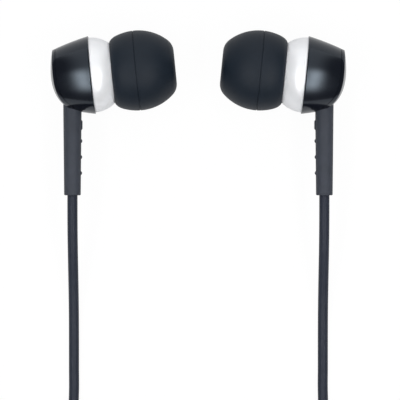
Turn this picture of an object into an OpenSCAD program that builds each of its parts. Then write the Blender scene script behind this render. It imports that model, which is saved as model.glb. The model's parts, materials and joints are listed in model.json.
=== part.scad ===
// Wired in-ear earphones lying on a table, cable wound up below them.
// Millimetres. +X is to the right, +Y from the cable towards the buds, +Z up; the table is Z = 0.
// The origin lies on the table, midway between the buds.

/* [Ear tip] */
// Widest diameter of the silicone ear tip
tip_d = 12.5; // [12:0.1:13]
// Distance of the widest ring from the rim of the rear shell
tip_widest_u = 7.2; // [6.8:0.1:7.6]
// Distance of the tip's front face from the rim of the rear shell
tip_front_u = 13.05; // [12.6:0.05:13.6]
// Distance of the skirt's open edge from the rim of the rear shell
tip_rear_u = 3.2; // [3.1:0.05:3.5]
// Diameter of the foremost ring of the nose
tip_mouth_d = 5.0; // [4.9:0.1:5.4]
// Bulge radius of the skirt behind the widest ring
tip_back_r = 8.15; // [7.5:0.05:9]
// Rounding of the nose
tip_nose_r = 2.4; // [1.8:0.1:2.8]
// Wall of the skirt at its widest ring
tip_wall = 0.65; // [0.5:0.05:0.8]
// Wall of the core tube that grips the nozzle
tip_core_wall = 0.9; // [0.6:0.05:1.1]
// Diameter of the sound channel
tip_channel_d = 3.8; // [3:0.1:4.2]

/* [Bud] */
// Tilt of each bud's axis, its nose towards +Y
bud_tilt = 5.7; // [0:0.1:12]
// Distance of the rim's centre from the middle plane
rim_x = 16.6; // [16.4:0.1:20]
// Diameter of the rear shell at its rim
rim_d = 12.2; // [12.1:0.05:12.4]
// Narrowing of the rear shell's radius halfway back
shell_narrow_mid = 0.94; // [0.85:0.01:1]
// Narrowing of the rear shell's radius at its back
shell_narrow_back = 2.26; // [2.1:0.02:2.4]
// Wall of the rear shell
shell_wall = 0.7; // [0.6:0.05:0.8]
// Thickness of the rear cap
cap_t = 0.45; // [0.35:0.05:0.7]
// Diameter of the ball-shaped front shell
ball_d = 11.5; // [11.4:0.02:11.54]
// Distance of the ball's centre ahead of the rim
ball_u = -0.1; // [-0.15:0.01:0]
// Wall of the front shell
ball_wall = 1.25; // [1.2:0.01:1.3]
// Depth of the front shell's spigot inside the rear shell
spigot_len = 1.25; // [1:0.05:1.5]
// Wall of the spigot round the driver
spigot_wall = 0.56; // [0.5:0.02:0.6]
// Gap between parts that fit into each other
fit = 0.03; // [0.02:0.01:0.05]

/* [Nozzle] */
// Diameter of the nozzle
nozzle_d = 4.6; // [4.2:0.1:4.8]
// Diameter of the nozzle's retaining lip
lip_d = 4.9; // [4.8:0.05:4.95]
// Length of the retaining lip
lip_len = 0.7; // [0.5:0.05:1]
// Distance of the nozzle's mouth from the rim
nozzle_u = 8.4; // [8.2:0.05:8.6]
// Bore of the nozzle
nozzle_bore_d = 3.6; // [3.2:0.1:3.8]
// Gap all round between the nozzle's lip and the tip's core
tip_gap = 0.1; // [0.05:0.01:0.15]
// Diameter of a hole in the nozzle mesh
mesh_hole_d = 0.36; // [0.3:0.02:0.4]
// Pitch of the holes in the nozzle mesh
mesh_pitch = 0.6; // [0.55:0.01:0.7]
// Thickness of the nozzle mesh
mesh_t = 0.2; // [0.15:0.01:0.25]
// Thickness of the foam damper
damper_t = 1.0; // [0.6:0.1:1.4]

/* [Driver] */
// Length of the driver frame's rim
driver_len = 2.2; // [2.1:0.05:2.4]
// Diameter of the driver's yoke
yoke_d = 5.2; // [5:0.05:5.4]
// Depth of the yoke cup
yoke_len = 1.8; // [1.7:0.05:2]
// Diameter of the magnet
magnet_d = 3.2; // [3:0.05:3.3]
// Height of the magnet
magnet_len = 1.0; // [0.9:0.05:1.05]
// Diameter of the voice coil
coil_d = 4.1; // [4.05:0.01:4.15]
// Thickness of the diaphragm
diaphragm_t = 0.1; // [0.08:0.01:0.12]
// Thickness of the terminal board
board_t = 0.3; // [0.2:0.05:0.4]

/* [Strain relief] */
// Distance of the sleeves and cords from the middle plane
sleeve_x = 19.65; // [19.4:0.05:19.8]
// Length of the sleeve below the rim's centre
sleeve_drop = 18.77; // [16:0.1:20]
// Diameter of the sleeve where it leaves the shell
sleeve_top_d = 2.9; // [2.8:0.05:3]
// Diameter of the sleeve at its lower end
sleeve_end_d = 2.6; // [2.4:0.05:2.8]
// Diameter of a tactile dome on the sleeve
dome_d = 0.74; // [0.6:0.02:0.9]
// Pitch of the tactile domes
dome_pitch = 2.5; // [2:0.1:2.8]
// Length of the long tactile ridge above the domes
ridge_len = 1.7; // [1.2:0.1:2]

/* [Cable] */
// Diameter of the arm cords
arm_d = 1.6; // [1.5:0.05:1.65]
// Diameter of the main cord
main_d = 2.2; // [2.1:0.05:2.25]
// Turns in each arm's coil
arm_turns = 4.25; // [4.25:1:5.25]
// Radius of an arm coil's outer turn, at the cord's centre
arm_coil_r = 10.8; // [10.6:0.05:11]
// Turns in the main cord's coil
main_turns = 10.75; // [9.75:1:11.75]
// Radius of the main coil's outer turn, at the cord's centre
main_coil_r = 15.7; // [15.2:0.1:16]
// Gap between neighbouring turns
turn_gap = 0.45; // [0.42:0.01:0.5]
// Thickness of a tie's band
tie_t = 0.5; // [0.4:0.05:0.6]
// Width of a tie's band
tie_w = 3.0; // [2:0.1:4]

/* [Splitter and slider] */
// Width of the splitter
splitter_w = 6.6; // [6.4:0.1:7.2]
// Thickness of the splitter
splitter_t = 4.0; // [3.8:0.1:4]
// Length of the splitter
splitter_len = 14.0; // [12:0.5:14]
// Width of the cord slider
slider_w = 6.2; // [6:0.1:6.6]
// Thickness of the cord slider
slider_t = 3.6; // [3.4:0.1:3.7]
// Length of the cord slider
slider_len = 8.0; // [6:0.5:8]
// Distance between the twin cords
twin_pitch = 2.1; // [2.05:0.05:2.2]

/* [Plug] */
// Diameter of the plug's contacts
pin_d = 3.5; // [3.45:0.01:3.5]
// Length of the plug's contacts
pin_len = 14.0; // [14:0.1:15]
// Diameter of the plug's grip
grip_d = 6.4; // [6.2:0.1:7]
// Length of the grip along the contacts
grip_len = 8.0; // [7:0.1:9]
// Diameter of the grip's arm towards the cord
grip_arm_d = 5.0; // [4.8:0.1:5.4]
// Length of the grip's arm
grip_arm_len = 6.0; // [5:0.1:7]
// Length of the plug's strain relief
plug_relief_len = 9.0; // [8:0.1:9]

/* [Hidden] */
SIDES = ["left", "right"];
BUD_PIECES = [
    "ear_tip", "front_shell", "nozzle_mesh", "damper", "driver_frame", "diaphragm", "voice_coil",
    "pole_plate", "magnet", "yoke", "terminal_board", "rear_shell", "rear_cap", "strain_relief",
    "cord_end", "cord_clamp", "lead_wires", "arm_cord", "arm_coil", "arm_coil_tie", "arm_lead_in"
];
CABLE_PIECES = [
    "splitter_top", "splitter_bottom", "splitter_crimp", "splitter_cord_ends", "cord_slider", "main_cord",
    "main_coil", "main_coil_tie", "plug_cord", "plug_tip", "plug_ring", "plug_sleeve", "plug_insulators",
    "plug_core", "plug_grip", "plug_relief", "plug_cord_end"
];

$fn = 64;
small_fn = 32;
past = 1; // how far a cutter runs past what it cuts

tip_r = tip_d / 2;
ball_r = ball_d / 2;
rim_r = rim_d / 2;

// The skirt's two bulges share the widest ring, and the front one is tangent to the nose's rounding.
nose_c = [tip_front_u - tip_nose_r, tip_mouth_d / 2];
nose_ahead = nose_c.x - tip_widest_u;
nose_below = tip_r - nose_c.y;
tip_front_r = (pow(nose_ahead, 2) + pow(nose_below, 2) - pow(tip_nose_r, 2))
    / (2 * (nose_below - tip_nose_r));
front_bulge_c = [tip_widest_u, tip_r - tip_front_r];
back_bulge_c = [tip_widest_u, tip_r - tip_back_r];
nose_angle = atan2(nose_c.y - front_bulge_c.y, nose_ahead);

// The rim's centre: the buds' tips and sleeve ends lie equally far from the origin along Y.
tip_reach = front_bulge_c.x * sin(bud_tilt) + front_bulge_c.y * cos(bud_tilt) + tip_front_r;
rim_y = (sleeve_drop - tip_reach) / 2;
sleeve_end_y = rim_y - sleeve_drop;

// Points of an arc, as [u, r], from one angle to another.
function arc(centre, radius, from, to, steps) =
    [for (i = [0:steps]) let (a = from + (to - from) * i / steps) centre + radius * [cos(a), sin(a)]];

// Points of a cubic curve with two end points and two handles.
function curve(p0, p1, p2, p3, steps) =
    [for (i = [0:steps]) let (t = i / steps, s = 1 - t)
        s * s * s * p0 + 3 * s * s * t * p1 + 3 * s * t * t * p2 + t * t * t * p3];

// Children drawn for the left side are mirrored for the right one.
module on_side(side) {
    if (side == "right") mirror([1, 0, 0]) children();
    else children();
}

// Children drawn on the bud's own axis: X runs along it from the rim to the nose, Y across it.
module bud() {
    translate([-rim_x, rim_y, tip_r]) rotate([0, 0, bud_tilt]) children();
}

// A solid of revolution about the bud's axis, from an outline of [u, r] points.
module turned(outline) {
    bud() rotate([0, 90, 0]) rotate_extrude() polygon([for (p = outline) [p.y, p.x]]);
}

// A disc or tube about the bud's axis, from u0 to u1.
module tube_at(u0, u1, outer_d, inner_d = 0) {
    bud() translate([u0, 0, 0]) rotate([0, 90, 0]) difference() {
        cylinder(h = u1 - u0, d = outer_d);
        if (inner_d > 0) translate([0, 0, -past]) cylinder(h = u1 - u0 + 2 * past, d = inner_d);
    }
}

// ---- Ear tip ----

skirt_end_u = 10.2;      // depth of the hollow between skirt and core
core_u = 5.35;           // rear end of the core tube
core_bore_r = lip_d / 2 + tip_gap;
core_r = core_bore_r + tip_core_wall;
channel_r = tip_channel_d / 2;
seat_gap = 0.05;         // ahead of the nozzle's mouth
mouth_edge_r = 0.3;      // rounding where the front face meets the channel
turned_in = 1.4;         // how far the skirt's open edge is drawn in
edge_lean = [0.3, 0.52]; // how the outline leaves the open edge
join_lean = 0.6;         // how far before the back bulge it already follows it
edge_t = 0.1;            // the open edge, along the axis
lip_edge = [tip_rear_u, tip_r - turned_in];
skirt_in_r = 7.6;        // bulge radius of the skirt's inner face
skirt_in_c = [6.7, tip_r - tip_wall - skirt_in_r];
skirt_in_from = acos((tip_rear_u + edge_t - skirt_in_c.x) / skirt_in_r);
skirt_in_to = acos((skirt_end_u - skirt_in_c.x) / skirt_in_r);
back_join_u = 4.6;       // where the turned-in edge meets the back bulge
back_join_angle = acos((back_join_u - back_bulge_c.x) / tip_back_r);
back_join = back_bulge_c + tip_back_r * [cos(back_join_angle), sin(back_join_angle)];

module ear_tip() {
    color([0.14, 0.17, 0.20]) turned(concat(
        curve(lip_edge, lip_edge + edge_lean,
            back_join - join_lean * [sin(back_join_angle), -cos(back_join_angle)], back_join, 6),
        arc(back_bulge_c, tip_back_r, back_join_angle, 90, 6),
        arc(front_bulge_c, tip_front_r, 90, nose_angle, 10),
        arc(nose_c, tip_nose_r, nose_angle, 0, 8),
        arc([tip_front_u - mouth_edge_r, channel_r + mouth_edge_r], mouth_edge_r, 0, -90, 4),
        [[nozzle_u + seat_gap, channel_r], [nozzle_u + seat_gap, core_bore_r], [core_u, core_bore_r],
            [core_u, core_r], [skirt_end_u, core_r]],
        arc(skirt_in_c, skirt_in_r, skirt_in_to, skirt_in_from, 12)
    ));
}

// ---- Front shell ----

shell_reach = 7.4;                     // how far behind the rim the rear shell's turned form runs
driver_u1 = 1.0;                       // front face of the driver
driver_u0 = driver_u1 - driver_len;    // rear edge of the driver frame's rim
spigot_r = shell_r(-spigot_len) - shell_wall;
pocket_r = spigot_r - fit - spigot_wall;
driver_d = 2 * (pocket_r - fit);
nozzle_r = nozzle_d / 2;
mesh_ledge = 0.25;                     // the ledge that the mesh lies on
mesh_seat_d = nozzle_bore_d + 2 * mesh_ledge;
ball_in_r = ball_r - ball_wall;
root_sink = 0.2;                       // how far the nozzle's root lies inside the ball
nozzle_root_u = ball_u + sqrt(ball_r * ball_r - nozzle_r * nozzle_r) - root_sink;

// Radius of the rear shell's turned form at a place behind the rim.
function shell_r(u) =
    let (back = -u / shell_reach)
    rim_r - (4 * shell_narrow_mid - shell_narrow_back) * back
        - 2 * (shell_narrow_back - 2 * shell_narrow_mid) * back * back;

module front_shell() {
    color([0.92, 0.92, 0.94]) difference() {
        union() {
            turned(concat(
                [[-spigot_len, 0], [-spigot_len, spigot_r - fit], [0, spigot_r - fit]],
                arc([ball_u, 0], ball_r, 90 + asin(ball_u / ball_r), 0, 24)
            ));
            tube_at(nozzle_root_u, nozzle_u, nozzle_d);
            tube_at(nozzle_u - lip_len, nozzle_u, lip_d);
        }
        turned(concat(
            [[-spigot_len - past, 0], [-spigot_len - past, pocket_r], [driver_u1, pocket_r]],
            arc([ball_u, 0], ball_in_r, 90 - asin((driver_u1 - ball_u) / ball_in_r), 0, 16)
        ));
        tube_at(0, nozzle_u + past, nozzle_bore_d);
        tube_at(nozzle_u - mesh_t, nozzle_u + past, mesh_seat_d);
    }
}

module nozzle_mesh() {
    rows = floor((nozzle_bore_d / 2 - mesh_hole_d / 2) / mesh_pitch);
    color([0.55, 0.56, 0.58]) difference() {
        tube_at(nozzle_u - mesh_t, nozzle_u, mesh_seat_d - 2 * fit);
        bud() for (i = [-rows:rows], j = [-rows:rows])
            if (norm([i, j]) * mesh_pitch + mesh_hole_d / 2 < nozzle_bore_d / 2)
                translate([nozzle_u - mesh_t - past, i * mesh_pitch, j * mesh_pitch])
                    rotate([0, 90, 0]) cylinder(h = mesh_t + 2 * past, d = mesh_hole_d, $fn = 16);
    }
}

module damper() {
    color([0.86, 0.84, 0.78])
        tube_at(nozzle_u - mesh_t - damper_t, nozzle_u - mesh_t, nozzle_bore_d - 2 * fit);
}

// ---- Driver, stacked from its front face back ----

frame_lip_h = 0.4;                     // the frame's thin lip ahead of the diaphragm
frame_lip_wall = 0.3;
frame_wall = 0.7;
diaphragm_u = driver_u1 - frame_lip_h; // plane of the diaphragm's clamped edge
frame_web_t = 0.4;                     // web of the frame, flush with its rear edge
cup_back = 0.5;                        // how far the yoke cup's floor lies behind the frame
magnet_seat_u = driver_u0 - cup_back;
pole_t = 0.4;                          // thickness of the pole plate
yoke_floor = yoke_len - magnet_len - pole_t;
yoke_mouth_u = magnet_seat_u + yoke_len - yoke_floor;
coil_wall = 0.15;
magnet_gap = 0.1;                      // from the pole plate to the voice coil
coil_dip = 0.5;                        // how deep the voice coil stands in the yoke's gap
glue_gap = 0.02;                       // from the voice coil to the diaphragm
board_edge = 0.5;                      // straight edge of the terminal board, above the bud's axis
board_inset = 0.4;                     // from the driver's edge to the board's
board_clear = 0.15;                    // from the yoke to the board

module driver_frame() {
    r = driver_d / 2;
    web_r = yoke_d / 2 + fit;
    color([0.2, 0.2, 0.22]) turned([
        [driver_u0, web_r], [driver_u0, r], [driver_u1, r], [driver_u1, r - frame_lip_wall],
        [diaphragm_u, r - frame_lip_wall], [diaphragm_u, r - frame_wall],
        [driver_u0 + frame_web_t, r - frame_wall], [driver_u0 + frame_web_t, web_r]
    ]);
}

module diaphragm() {
    steps = 6;
    dome_h = 0.35;
    surround_h = 0.15;
    edge_r = driver_d / 2 - frame_lip_wall - fit;
    coil_r = coil_d / 2;
    dome = [for (i = [0:steps]) [dome_h * cos(90 * i / steps), coil_r * sin(90 * i / steps)]];
    surround = [for (i = [1:steps])
        [surround_h * sin(180 * i / steps), coil_r + (edge_r - coil_r) * i / steps]];
    profile = concat(dome, surround);
    color([0.85, 0.80, 0.62, 0.9]) turned(concat(
        [for (p = profile) p + [diaphragm_u + diaphragm_t, 0]],
        [for (i = [len(profile) - 1:-1:0]) profile[i] + [diaphragm_u, 0]]
    ));
}

module voice_coil() {
    color([0.72, 0.42, 0.22])
        tube_at(yoke_mouth_u - coil_dip, diaphragm_u - glue_gap, coil_d, coil_d - 2 * coil_wall);
}

module magnet() {
    color([0.6, 0.6, 0.63]) tube_at(magnet_seat_u, magnet_seat_u + magnet_len, magnet_d);
}

module pole_plate() {
    color([0.5, 0.5, 0.53])
        tube_at(magnet_seat_u + magnet_len, yoke_mouth_u, coil_d - 2 * coil_wall - 2 * magnet_gap);
}

module yoke() {
    inner_d = coil_d + 2 * magnet_gap;
    color([0.45, 0.45, 0.48]) union() {
        tube_at(magnet_seat_u, yoke_mouth_u, yoke_d, inner_d);
        tube_at(magnet_seat_u - yoke_floor, magnet_seat_u, yoke_d);
    }
}

// A half ring on the back of the frame, on the side away from the cord.
module terminal_board() {
    color([0.1, 0.35, 0.2]) difference() {
        tube_at(driver_u0 - board_t, driver_u0, driver_d - 2 * board_inset, yoke_d + 2 * board_clear);
        bud() translate([driver_u0 - board_t - past, board_edge - 2 * driver_d, -driver_d])
            cube([board_t + 2 * past, 2 * driver_d, 2 * driver_d]);
    }
}

// ---- Rear shell and cap ----

shell_steps = 12;
rim_round = 0.15;
sleeve_hole_top = 3.9;   // upper end of the sleeve's hole, below the rim's centre
shell_stations = [for (i = [shell_steps:-1:1]) -shell_reach * i / shell_steps];

// The cap's outer face, seen along Z, as a curve from its top corner to its foot beside the sleeve.
cap_steps = 16;
cap_top = [-5.77, 4.45];
cap_bow_high = [-7.0, -0.4];
cap_bow_low = [-6.6, -4.1];
cap_low = [-2.4, -5.75];
cap_line = curve(cap_top, cap_bow_high, cap_bow_low, cap_low, cap_steps);
cap_foot = [-3.48, -5.3];
cap_above = [-5.28, 6.4];
cap_face = concat([cap_above], [for (i = [0:cap_steps - 2]) cap_line[i]], [cap_foot]);
// The same curve moved inwards by the cap's thickness: the shell ends on it.
cap_seat = concat([cap_above + [cap_t, 0]], [for (i = [0:cap_steps - 3])
    let (
        along = cap_line[i + 1] - cap_line[max(i - 1, 0)],
        inward = [-along.y, along.x] / norm(along)
    ) cap_line[i] + cap_t * inward], [cap_foot]);
below_foot = [-2.87, -6.4];

module shell_form() {
    turned(concat([[-shell_reach, 0]], [for (u = shell_stations) [u, shell_r(u)]],
        [[-rim_round, shell_r(-rim_round)], [0, rim_r - rim_round], [0, 0]]));
}

module shell_cavity() {
    turned(concat([[-shell_reach, 0]], [for (u = shell_stations) [u, min(shell_r(u) - shell_wall, spigot_r)]],
        [[past, spigot_r], [past, 0]]));
}

// A plate that stands on the outline, through the whole depth of the bud.
module through(outline) {
    bud() linear_extrude(height = rim_d + 2 * past, center = true) polygon(outline);
}

// Room for the sleeve, through the shell's lower wall.
module sleeve_hole() {
    on_sleeve() translate([0, 0, -sleeve_drop])
        cylinder(h = sleeve_drop - sleeve_hole_top, d = sleeve_top_d + 2 * fit);
}

module rear_shell() {
    color([0.05, 0.05, 0.06]) difference() {
        intersection() {
            shell_form();
            through(concat(cap_seat, [below_foot, [past, -rim_d], [past, rim_d]]));
        }
        shell_cavity();
        sleeve_hole();
    }
}

module rear_cap() {
    color([0.06, 0.06, 0.08]) difference() {
        intersection() {
            shell_form();
            through(concat(cap_face, [for (i = [len(cap_seat) - 2:-1:0]) cap_seat[i]]));
        }
        sleeve_hole();
    }
}

// ---- Strain relief and what the cord ends in ----

flange_low = 3.75;       // lower face of the sleeve's flange, below the rim's centre
flange_t = 0.7;
flange_d = 3.3;
domes_top = 10.3;        // first dome, below the rim's centre
ridge_mid = 7.8;         // middle of the long ridge, below the rim's centre

// Children are drawn on the sleeve's axis: Z runs up along +Y, zero at the rim centre's height.
module on_sleeve() {
    translate([-sleeve_x, rim_y, tip_r]) rotate([-90, 0, 0]) children();
}

function sleeve_r(drop) =
    sleeve_top_d / 2 - (sleeve_top_d - sleeve_end_d) / 2 * (drop - flange_low) / (sleeve_drop - flange_low);

module strain_relief() {
    bump_out = 0.17;
    bore_d = arm_d + 2 * fit;
    ridge_x = sleeve_r(ridge_mid) + bump_out - dome_d / 2;
    ridge_half = (ridge_len - dome_d) / 2;
    color([0.12, 0.12, 0.14]) difference() {
        union() {
            on_sleeve() translate([0, 0, -sleeve_drop])
                cylinder(h = sleeve_drop - flange_low, d1 = sleeve_end_d, d2 = sleeve_top_d);
            on_sleeve() translate([0, 0, -flange_low]) cylinder(h = flange_t, d = flange_d);
            on_sleeve() for (i = [0:2]) let (drop = domes_top + i * dome_pitch)
                translate([sleeve_r(drop) + bump_out - dome_d / 2, 0, -drop])
                    sphere(d = dome_d, $fn = small_fn);
            on_sleeve() for (end = [-1, 1])
                translate([ridge_x, 0, end * ridge_half - ridge_mid]) sphere(d = dome_d, $fn = small_fn);
            on_sleeve() translate([ridge_x, 0, -ridge_mid - ridge_half])
                cylinder(h = 2 * ridge_half, d = dome_d, $fn = small_fn);
        }
        on_sleeve() translate([0, 0, -sleeve_drop - past])
            cylinder(h = sleeve_drop + 2 * past, d = bore_d);
    }
}

cord_top = 1.7;          // where the cord's jacket ends, below the rim's centre
clamp_len = 0.7;
clamp_wall = 0.3;

module cord_end() {
    color([0.2, 0.2, 0.22]) on_sleeve() translate([0, 0, -sleeve_drop])
        cylinder(h = sleeve_drop - cord_top, d = arm_d);
}

module cord_clamp() {
    color([0.7, 0.7, 0.72]) on_sleeve() translate([0, 0, -flange_low + flange_t]) difference() {
        cylinder(h = clamp_len, d = arm_d + 2 * clamp_wall);
        translate([0, 0, -past]) cylinder(h = clamp_len + 2 * past, d = arm_d + 2 * fit);
    }
}

// A place given from the rim's centre along X and Y, in the bud's own [u, v].
function to_bud(p) =
    [p.x * cos(bud_tilt) + p.y * sin(bud_tilt), p.y * cos(bud_tilt) - p.x * sin(bud_tilt)];

module lead_wires() {
    wire_d = 0.3;
    half_pitch = 0.4;
    bend = 0.4;              // how far the wires run on at each bend
    pad_out = 0.7;           // from the yoke to the pads that the wires end on
    behind_yoke = magnet_seat_u - yoke_floor - wire_d;
    pad_v = yoke_d / 2 + pad_out;
    start = to_bud([rim_x - sleeve_x, fit - cord_top]);
    color([0.75, 0.2, 0.15]) bud() for (z = [-half_pitch, half_pitch])
        tube([[start.x, start.y, z], [start.x, start.y + bend, z], [behind_yoke - bend, pad_v / 2, z],
            [behind_yoke, pad_v - bend, 1.5 * z], [behind_yoke + bend, pad_v, 2 * z],
            [driver_u0 - board_t - fit, pad_v, 2 * z]], wire_d, coil_sides);
}

// ---- Cords ----

// Rings of a tube that follows a route; each stands square to the route there.
function heading(route, i) =
    let (step = route[min(i + 1, len(route) - 1)] - route[max(i - 1, 0)]) step / norm(step);
function ring(centre, direction, radius, sides) =
    let (level = cross([0, 0, 1], direction), across = level / norm(level), up = cross(direction, across))
    [for (k = [0:sides - 1]) centre + radius * (cos(360 * k / sides) * across + sin(360 * k / sides) * up)];

module tube(route, d, sides) {
    last = len(route) - 1;
    polyhedron(
        points = [for (i = [0:last]) each ring(route[i], heading(route, i), d / 2, sides)],
        faces = concat(
            [for (k = [1:sides - 2]) [0, k, k + 1]],
            [for (i = [0:last - 1]) for (k = [0:sides - 1])
                let (a = i * sides + k, b = i * sides + (k + 1) % sides) each [[a, a + sides, b + sides],
                    [a, b + sides, b]]],
            [for (k = [1:sides - 2]) [for (corner = [0, k + 1, k]) last * sides + corner]]
        )
    );
}

function route_length(route) =
    let (steps = [for (i = [1:len(route) - 1]) norm(route[i] - route[i - 1])]) steps * [for (step = steps) 1];

// A coil starts on its outer turn, winds in and out again in layers, and climbs a layer in the half turn
// round each reversal. Its ends run straight for one diameter.
function in_and_out(t, per_layer) =
    let (s = t / per_layer, whole = floor(s)) whole % 2 == 0 ? s - whole : 1 - s + whole;
function ease(x) = let (c = min(max(x, 0), 1)) c * c * (3 - 2 * c);
function layers_climbed(t, per_layer, layers) =
    let (climbs = [for (k = [1:layers - 1]) ease((t - k * per_layer) * 2 + 0.5)])
    climbs * [for (c = climbs) 1];
function coil_radius(t, outer_r, turns, layers, d) =
    outer_r - (d + turn_gap) * turns / layers * in_and_out(t, turns / layers);
function coil_point(t, centre, start_angle, outer_r, turns, layers, d) =
    let (r = coil_radius(t, outer_r, turns, layers, d), a = start_angle + 360 * t)
    centre + [r * cos(a), r * sin(a), (d + turn_gap) * layers_climbed(t, turns / layers, layers)];
function coil_route(centre, start_angle, outer_r, turns, layers, d) =
    let (
        rings = round(turns * rings_per_turn),
        wound = [for (i = [0:rings]) let (t = min(i / rings_per_turn, turns - hair))
            coil_point(t, centre, start_angle, outer_r, turns, layers, d)],
        end_angle = start_angle + 360 * turns
    ) concat(
        [wound[0] + d * [sin(start_angle), -cos(start_angle), 0]],
        wound,
        [wound[rings] + d * [-sin(end_angle), cos(end_angle), 0]]
    );

// Least gap between a wound cord's turns, measured from point to point.
function least_gap(route, d) =
    min([for (i = [0:len(route) - 1]) for (j = [i + rings_per_turn / 2:len(route) - 1])
        norm(route[i] - route[j])]) - d;

rings_per_turn = 24;
hair = 0.0001;              // keeps a coil's last point within its last layer
run_sides = 8;
coil_sides = 6;
coil_lift = tie_t + 0.1;    // lifts a coil clear of the table by its tie's band
arm_layers = 2;
main_layers = 4;

arm_entry = [-24.0, -60.4, arm_d / 2 + coil_lift];
arm_centre = arm_entry + [arm_coil_r, -arm_d, 0];
arm_coil_route = coil_route(arm_centre, 180, arm_coil_r, arm_turns, arm_layers, arm_d);
arm_coil_end = arm_coil_route[len(arm_coil_route) - 1];
arm_route = [
    [-sleeve_x, sleeve_end_y, tip_r],
    [-sleeve_x, sleeve_end_y - arm_d, tip_r],
    [-sleeve_x, -18.0, 5.9],
    [-sleeve_x, -21.5, 4.9],
    [-sleeve_x, -25.0, 3.4],
    [-sleeve_x, -28.5, 2.0],
    [-sleeve_x, -32.0, 1.1],
    [-sleeve_x, -36.0, 0.8],
    [-sleeve_x, -40.0, 0.8],
    [-sleeve_x, -44.0, 0.8],
    [-19.9, -47.5, 0.8],
    [-21.1, -50.6, 0.8],
    [-22.8, -53.6, 0.9],
    [-23.8, -56.6, 1.2],
    arm_entry + [0, arm_d, 0],
    arm_entry
];
axis_z = splitter_t / 2;    // height of the splitter's and slider's middle plane
splitter_y = -104.0;        // the splitter's upper end
arm_lead_route = [
    arm_coil_end,
    arm_coil_end + [arm_d, 0, 0],
    [-7.3, -73.2, 3.0],
    [-4.9, -74.7, 2.3],
    [-3.3, -77.0, 1.6],
    [-2.2, -79.6, 1.3],
    [-1.4, -82.4, 1.6],
    [-twin_pitch / 2, -85.4, axis_z],
    [-twin_pitch / 2, -90.0, axis_z],
    [-twin_pitch / 2, -95.0, axis_z],
    [-twin_pitch / 2, -99.5, axis_z],
    [-twin_pitch / 2, splitter_y, axis_z]
];

main_entry = [-7.5, -128.0, main_d / 2 + coil_lift];
main_centre = main_entry + [-main_d, -main_coil_r, 0];
main_coil_route = coil_route(main_centre, 90, main_coil_r, main_turns, main_layers, main_d);
main_coil_end = main_coil_route[len(main_coil_route) - 1];
main_route = [
    [0, splitter_y - splitter_len, axis_z],
    [0, splitter_y - splitter_len - main_d, axis_z],
    [-0.1, -122.6, 1.7],
    [-0.9, -125.2, 1.4],
    [-2.8, -127.3, 1.4],
    main_entry + [main_d, 0, 0],
    main_entry
];
plug_z = grip_d / 2;
relief_end = [7.3, -101.6, plug_z];
plug_route = [
    main_coil_end,
    main_coil_end + [0, main_d, 0],
    [6.15, -135.5, 9.2],
    [6.3, -131.8, 7.9],
    [6.5, -128.2, 6.0],
    [6.7, -124.8, 4.0],
    [6.9, -121.4, 2.3],
    [7.1, -118.0, 1.3],
    [7.25, -114.5, 1.1],
    [7.3, -111.0, 1.5],
    [7.3, -107.3, 2.6],
    relief_end - [0, main_d, 0],
    relief_end
];

echo(arm_length = route_length(arm_route) + route_length(arm_coil_route) + route_length(arm_lead_route));
echo(main_length = route_length(main_route) + route_length(main_coil_route) + route_length(plug_route));
echo(arm_coil_gap = least_gap(arm_coil_route, arm_d), main_coil_gap = least_gap(main_coil_route, main_d));

module arm_cord() {
    color([0.16, 0.17, 0.20]) tube(arm_route, arm_d, run_sides);
}

module arm_coil() {
    color([0.16, 0.17, 0.20]) tube(arm_coil_route, arm_d, coil_sides);
}

module arm_lead_in() {
    color([0.16, 0.17, 0.20]) tube(arm_lead_route, arm_d, run_sides);
}

module main_cord() {
    color([0.16, 0.17, 0.20]) tube(main_route, main_d, run_sides);
}

module main_coil() {
    color([0.16, 0.17, 0.20]) tube(main_coil_route, main_d, coil_sides);
}

module plug_cord() {
    color([0.16, 0.17, 0.20]) tube(plug_route, main_d, run_sides);
}

// ---- Ties ----

// A rectangle with round corners, centred.
module round_rect(w, h, r) {
    square([w - 2 * r, h], center = true);
    square([w, h - 2 * r], center = true);
    for (x = [-1, 1], y = [-1, 1])
        translate([x * (w / 2 - r), y * (h / 2 - r)]) circle(r = r, $fn = small_fn);
}

// A band round a coil's bundle of turns, at one angle of the coil.
module coil_tie(centre, start_angle, at_angle, outer_r, turns, layers, d) {
    side_gap = 0.3;
    corner_r = 0.3;
    first = (at_angle - start_angle) / 360;
    crossings = [for (k = [-1:turns + 1]) if (first + k >= 0 && first + k <= turns)
        coil_radius(first + k, outer_r, turns, layers, d)];
    low_r = min(crossings) - d / 2 - side_gap;
    high_r = max(crossings) + d / 2 + side_gap;
    bundle_h = (d + turn_gap) * (layers - 1) + d + 2 * (coil_lift - tie_t);
    translate([centre.x, centre.y, tie_t + bundle_h / 2]) rotate([90, 0, at_angle])
        translate([(low_r + high_r) / 2, 0, 0]) linear_extrude(height = tie_w, center = true) difference() {
            round_rect(high_r - low_r + 2 * tie_t, bundle_h + 2 * tie_t, tie_t + corner_r);
            round_rect(high_r - low_r, bundle_h, corner_r);
        }
}

module arm_coil_tie() {
    color([0.1, 0.1, 0.11]) coil_tie(arm_centre, 180, 360, arm_coil_r, arm_turns, arm_layers, arm_d);
}

module main_coil_tie() {
    color([0.1, 0.1, 0.11]) coil_tie(main_centre, 90, 270, main_coil_r, main_turns, main_layers, main_d);
}

// ---- Splitter and slider ----

crimp_size = [5.0, 5.0, 3.0];
crimp_y = splitter_y - splitter_len / 2;
slide_gap = 0.08;           // between the slider's bores and the cords
slider_rest = 0.1;          // between the slider and the splitter
splitter_corner_r = 2.2;    // seen from above
splitter_edge_r = 1.6;      // seen along the cord
slider_corner_r = 1.8;
slider_edge_r = 1.4;

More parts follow.
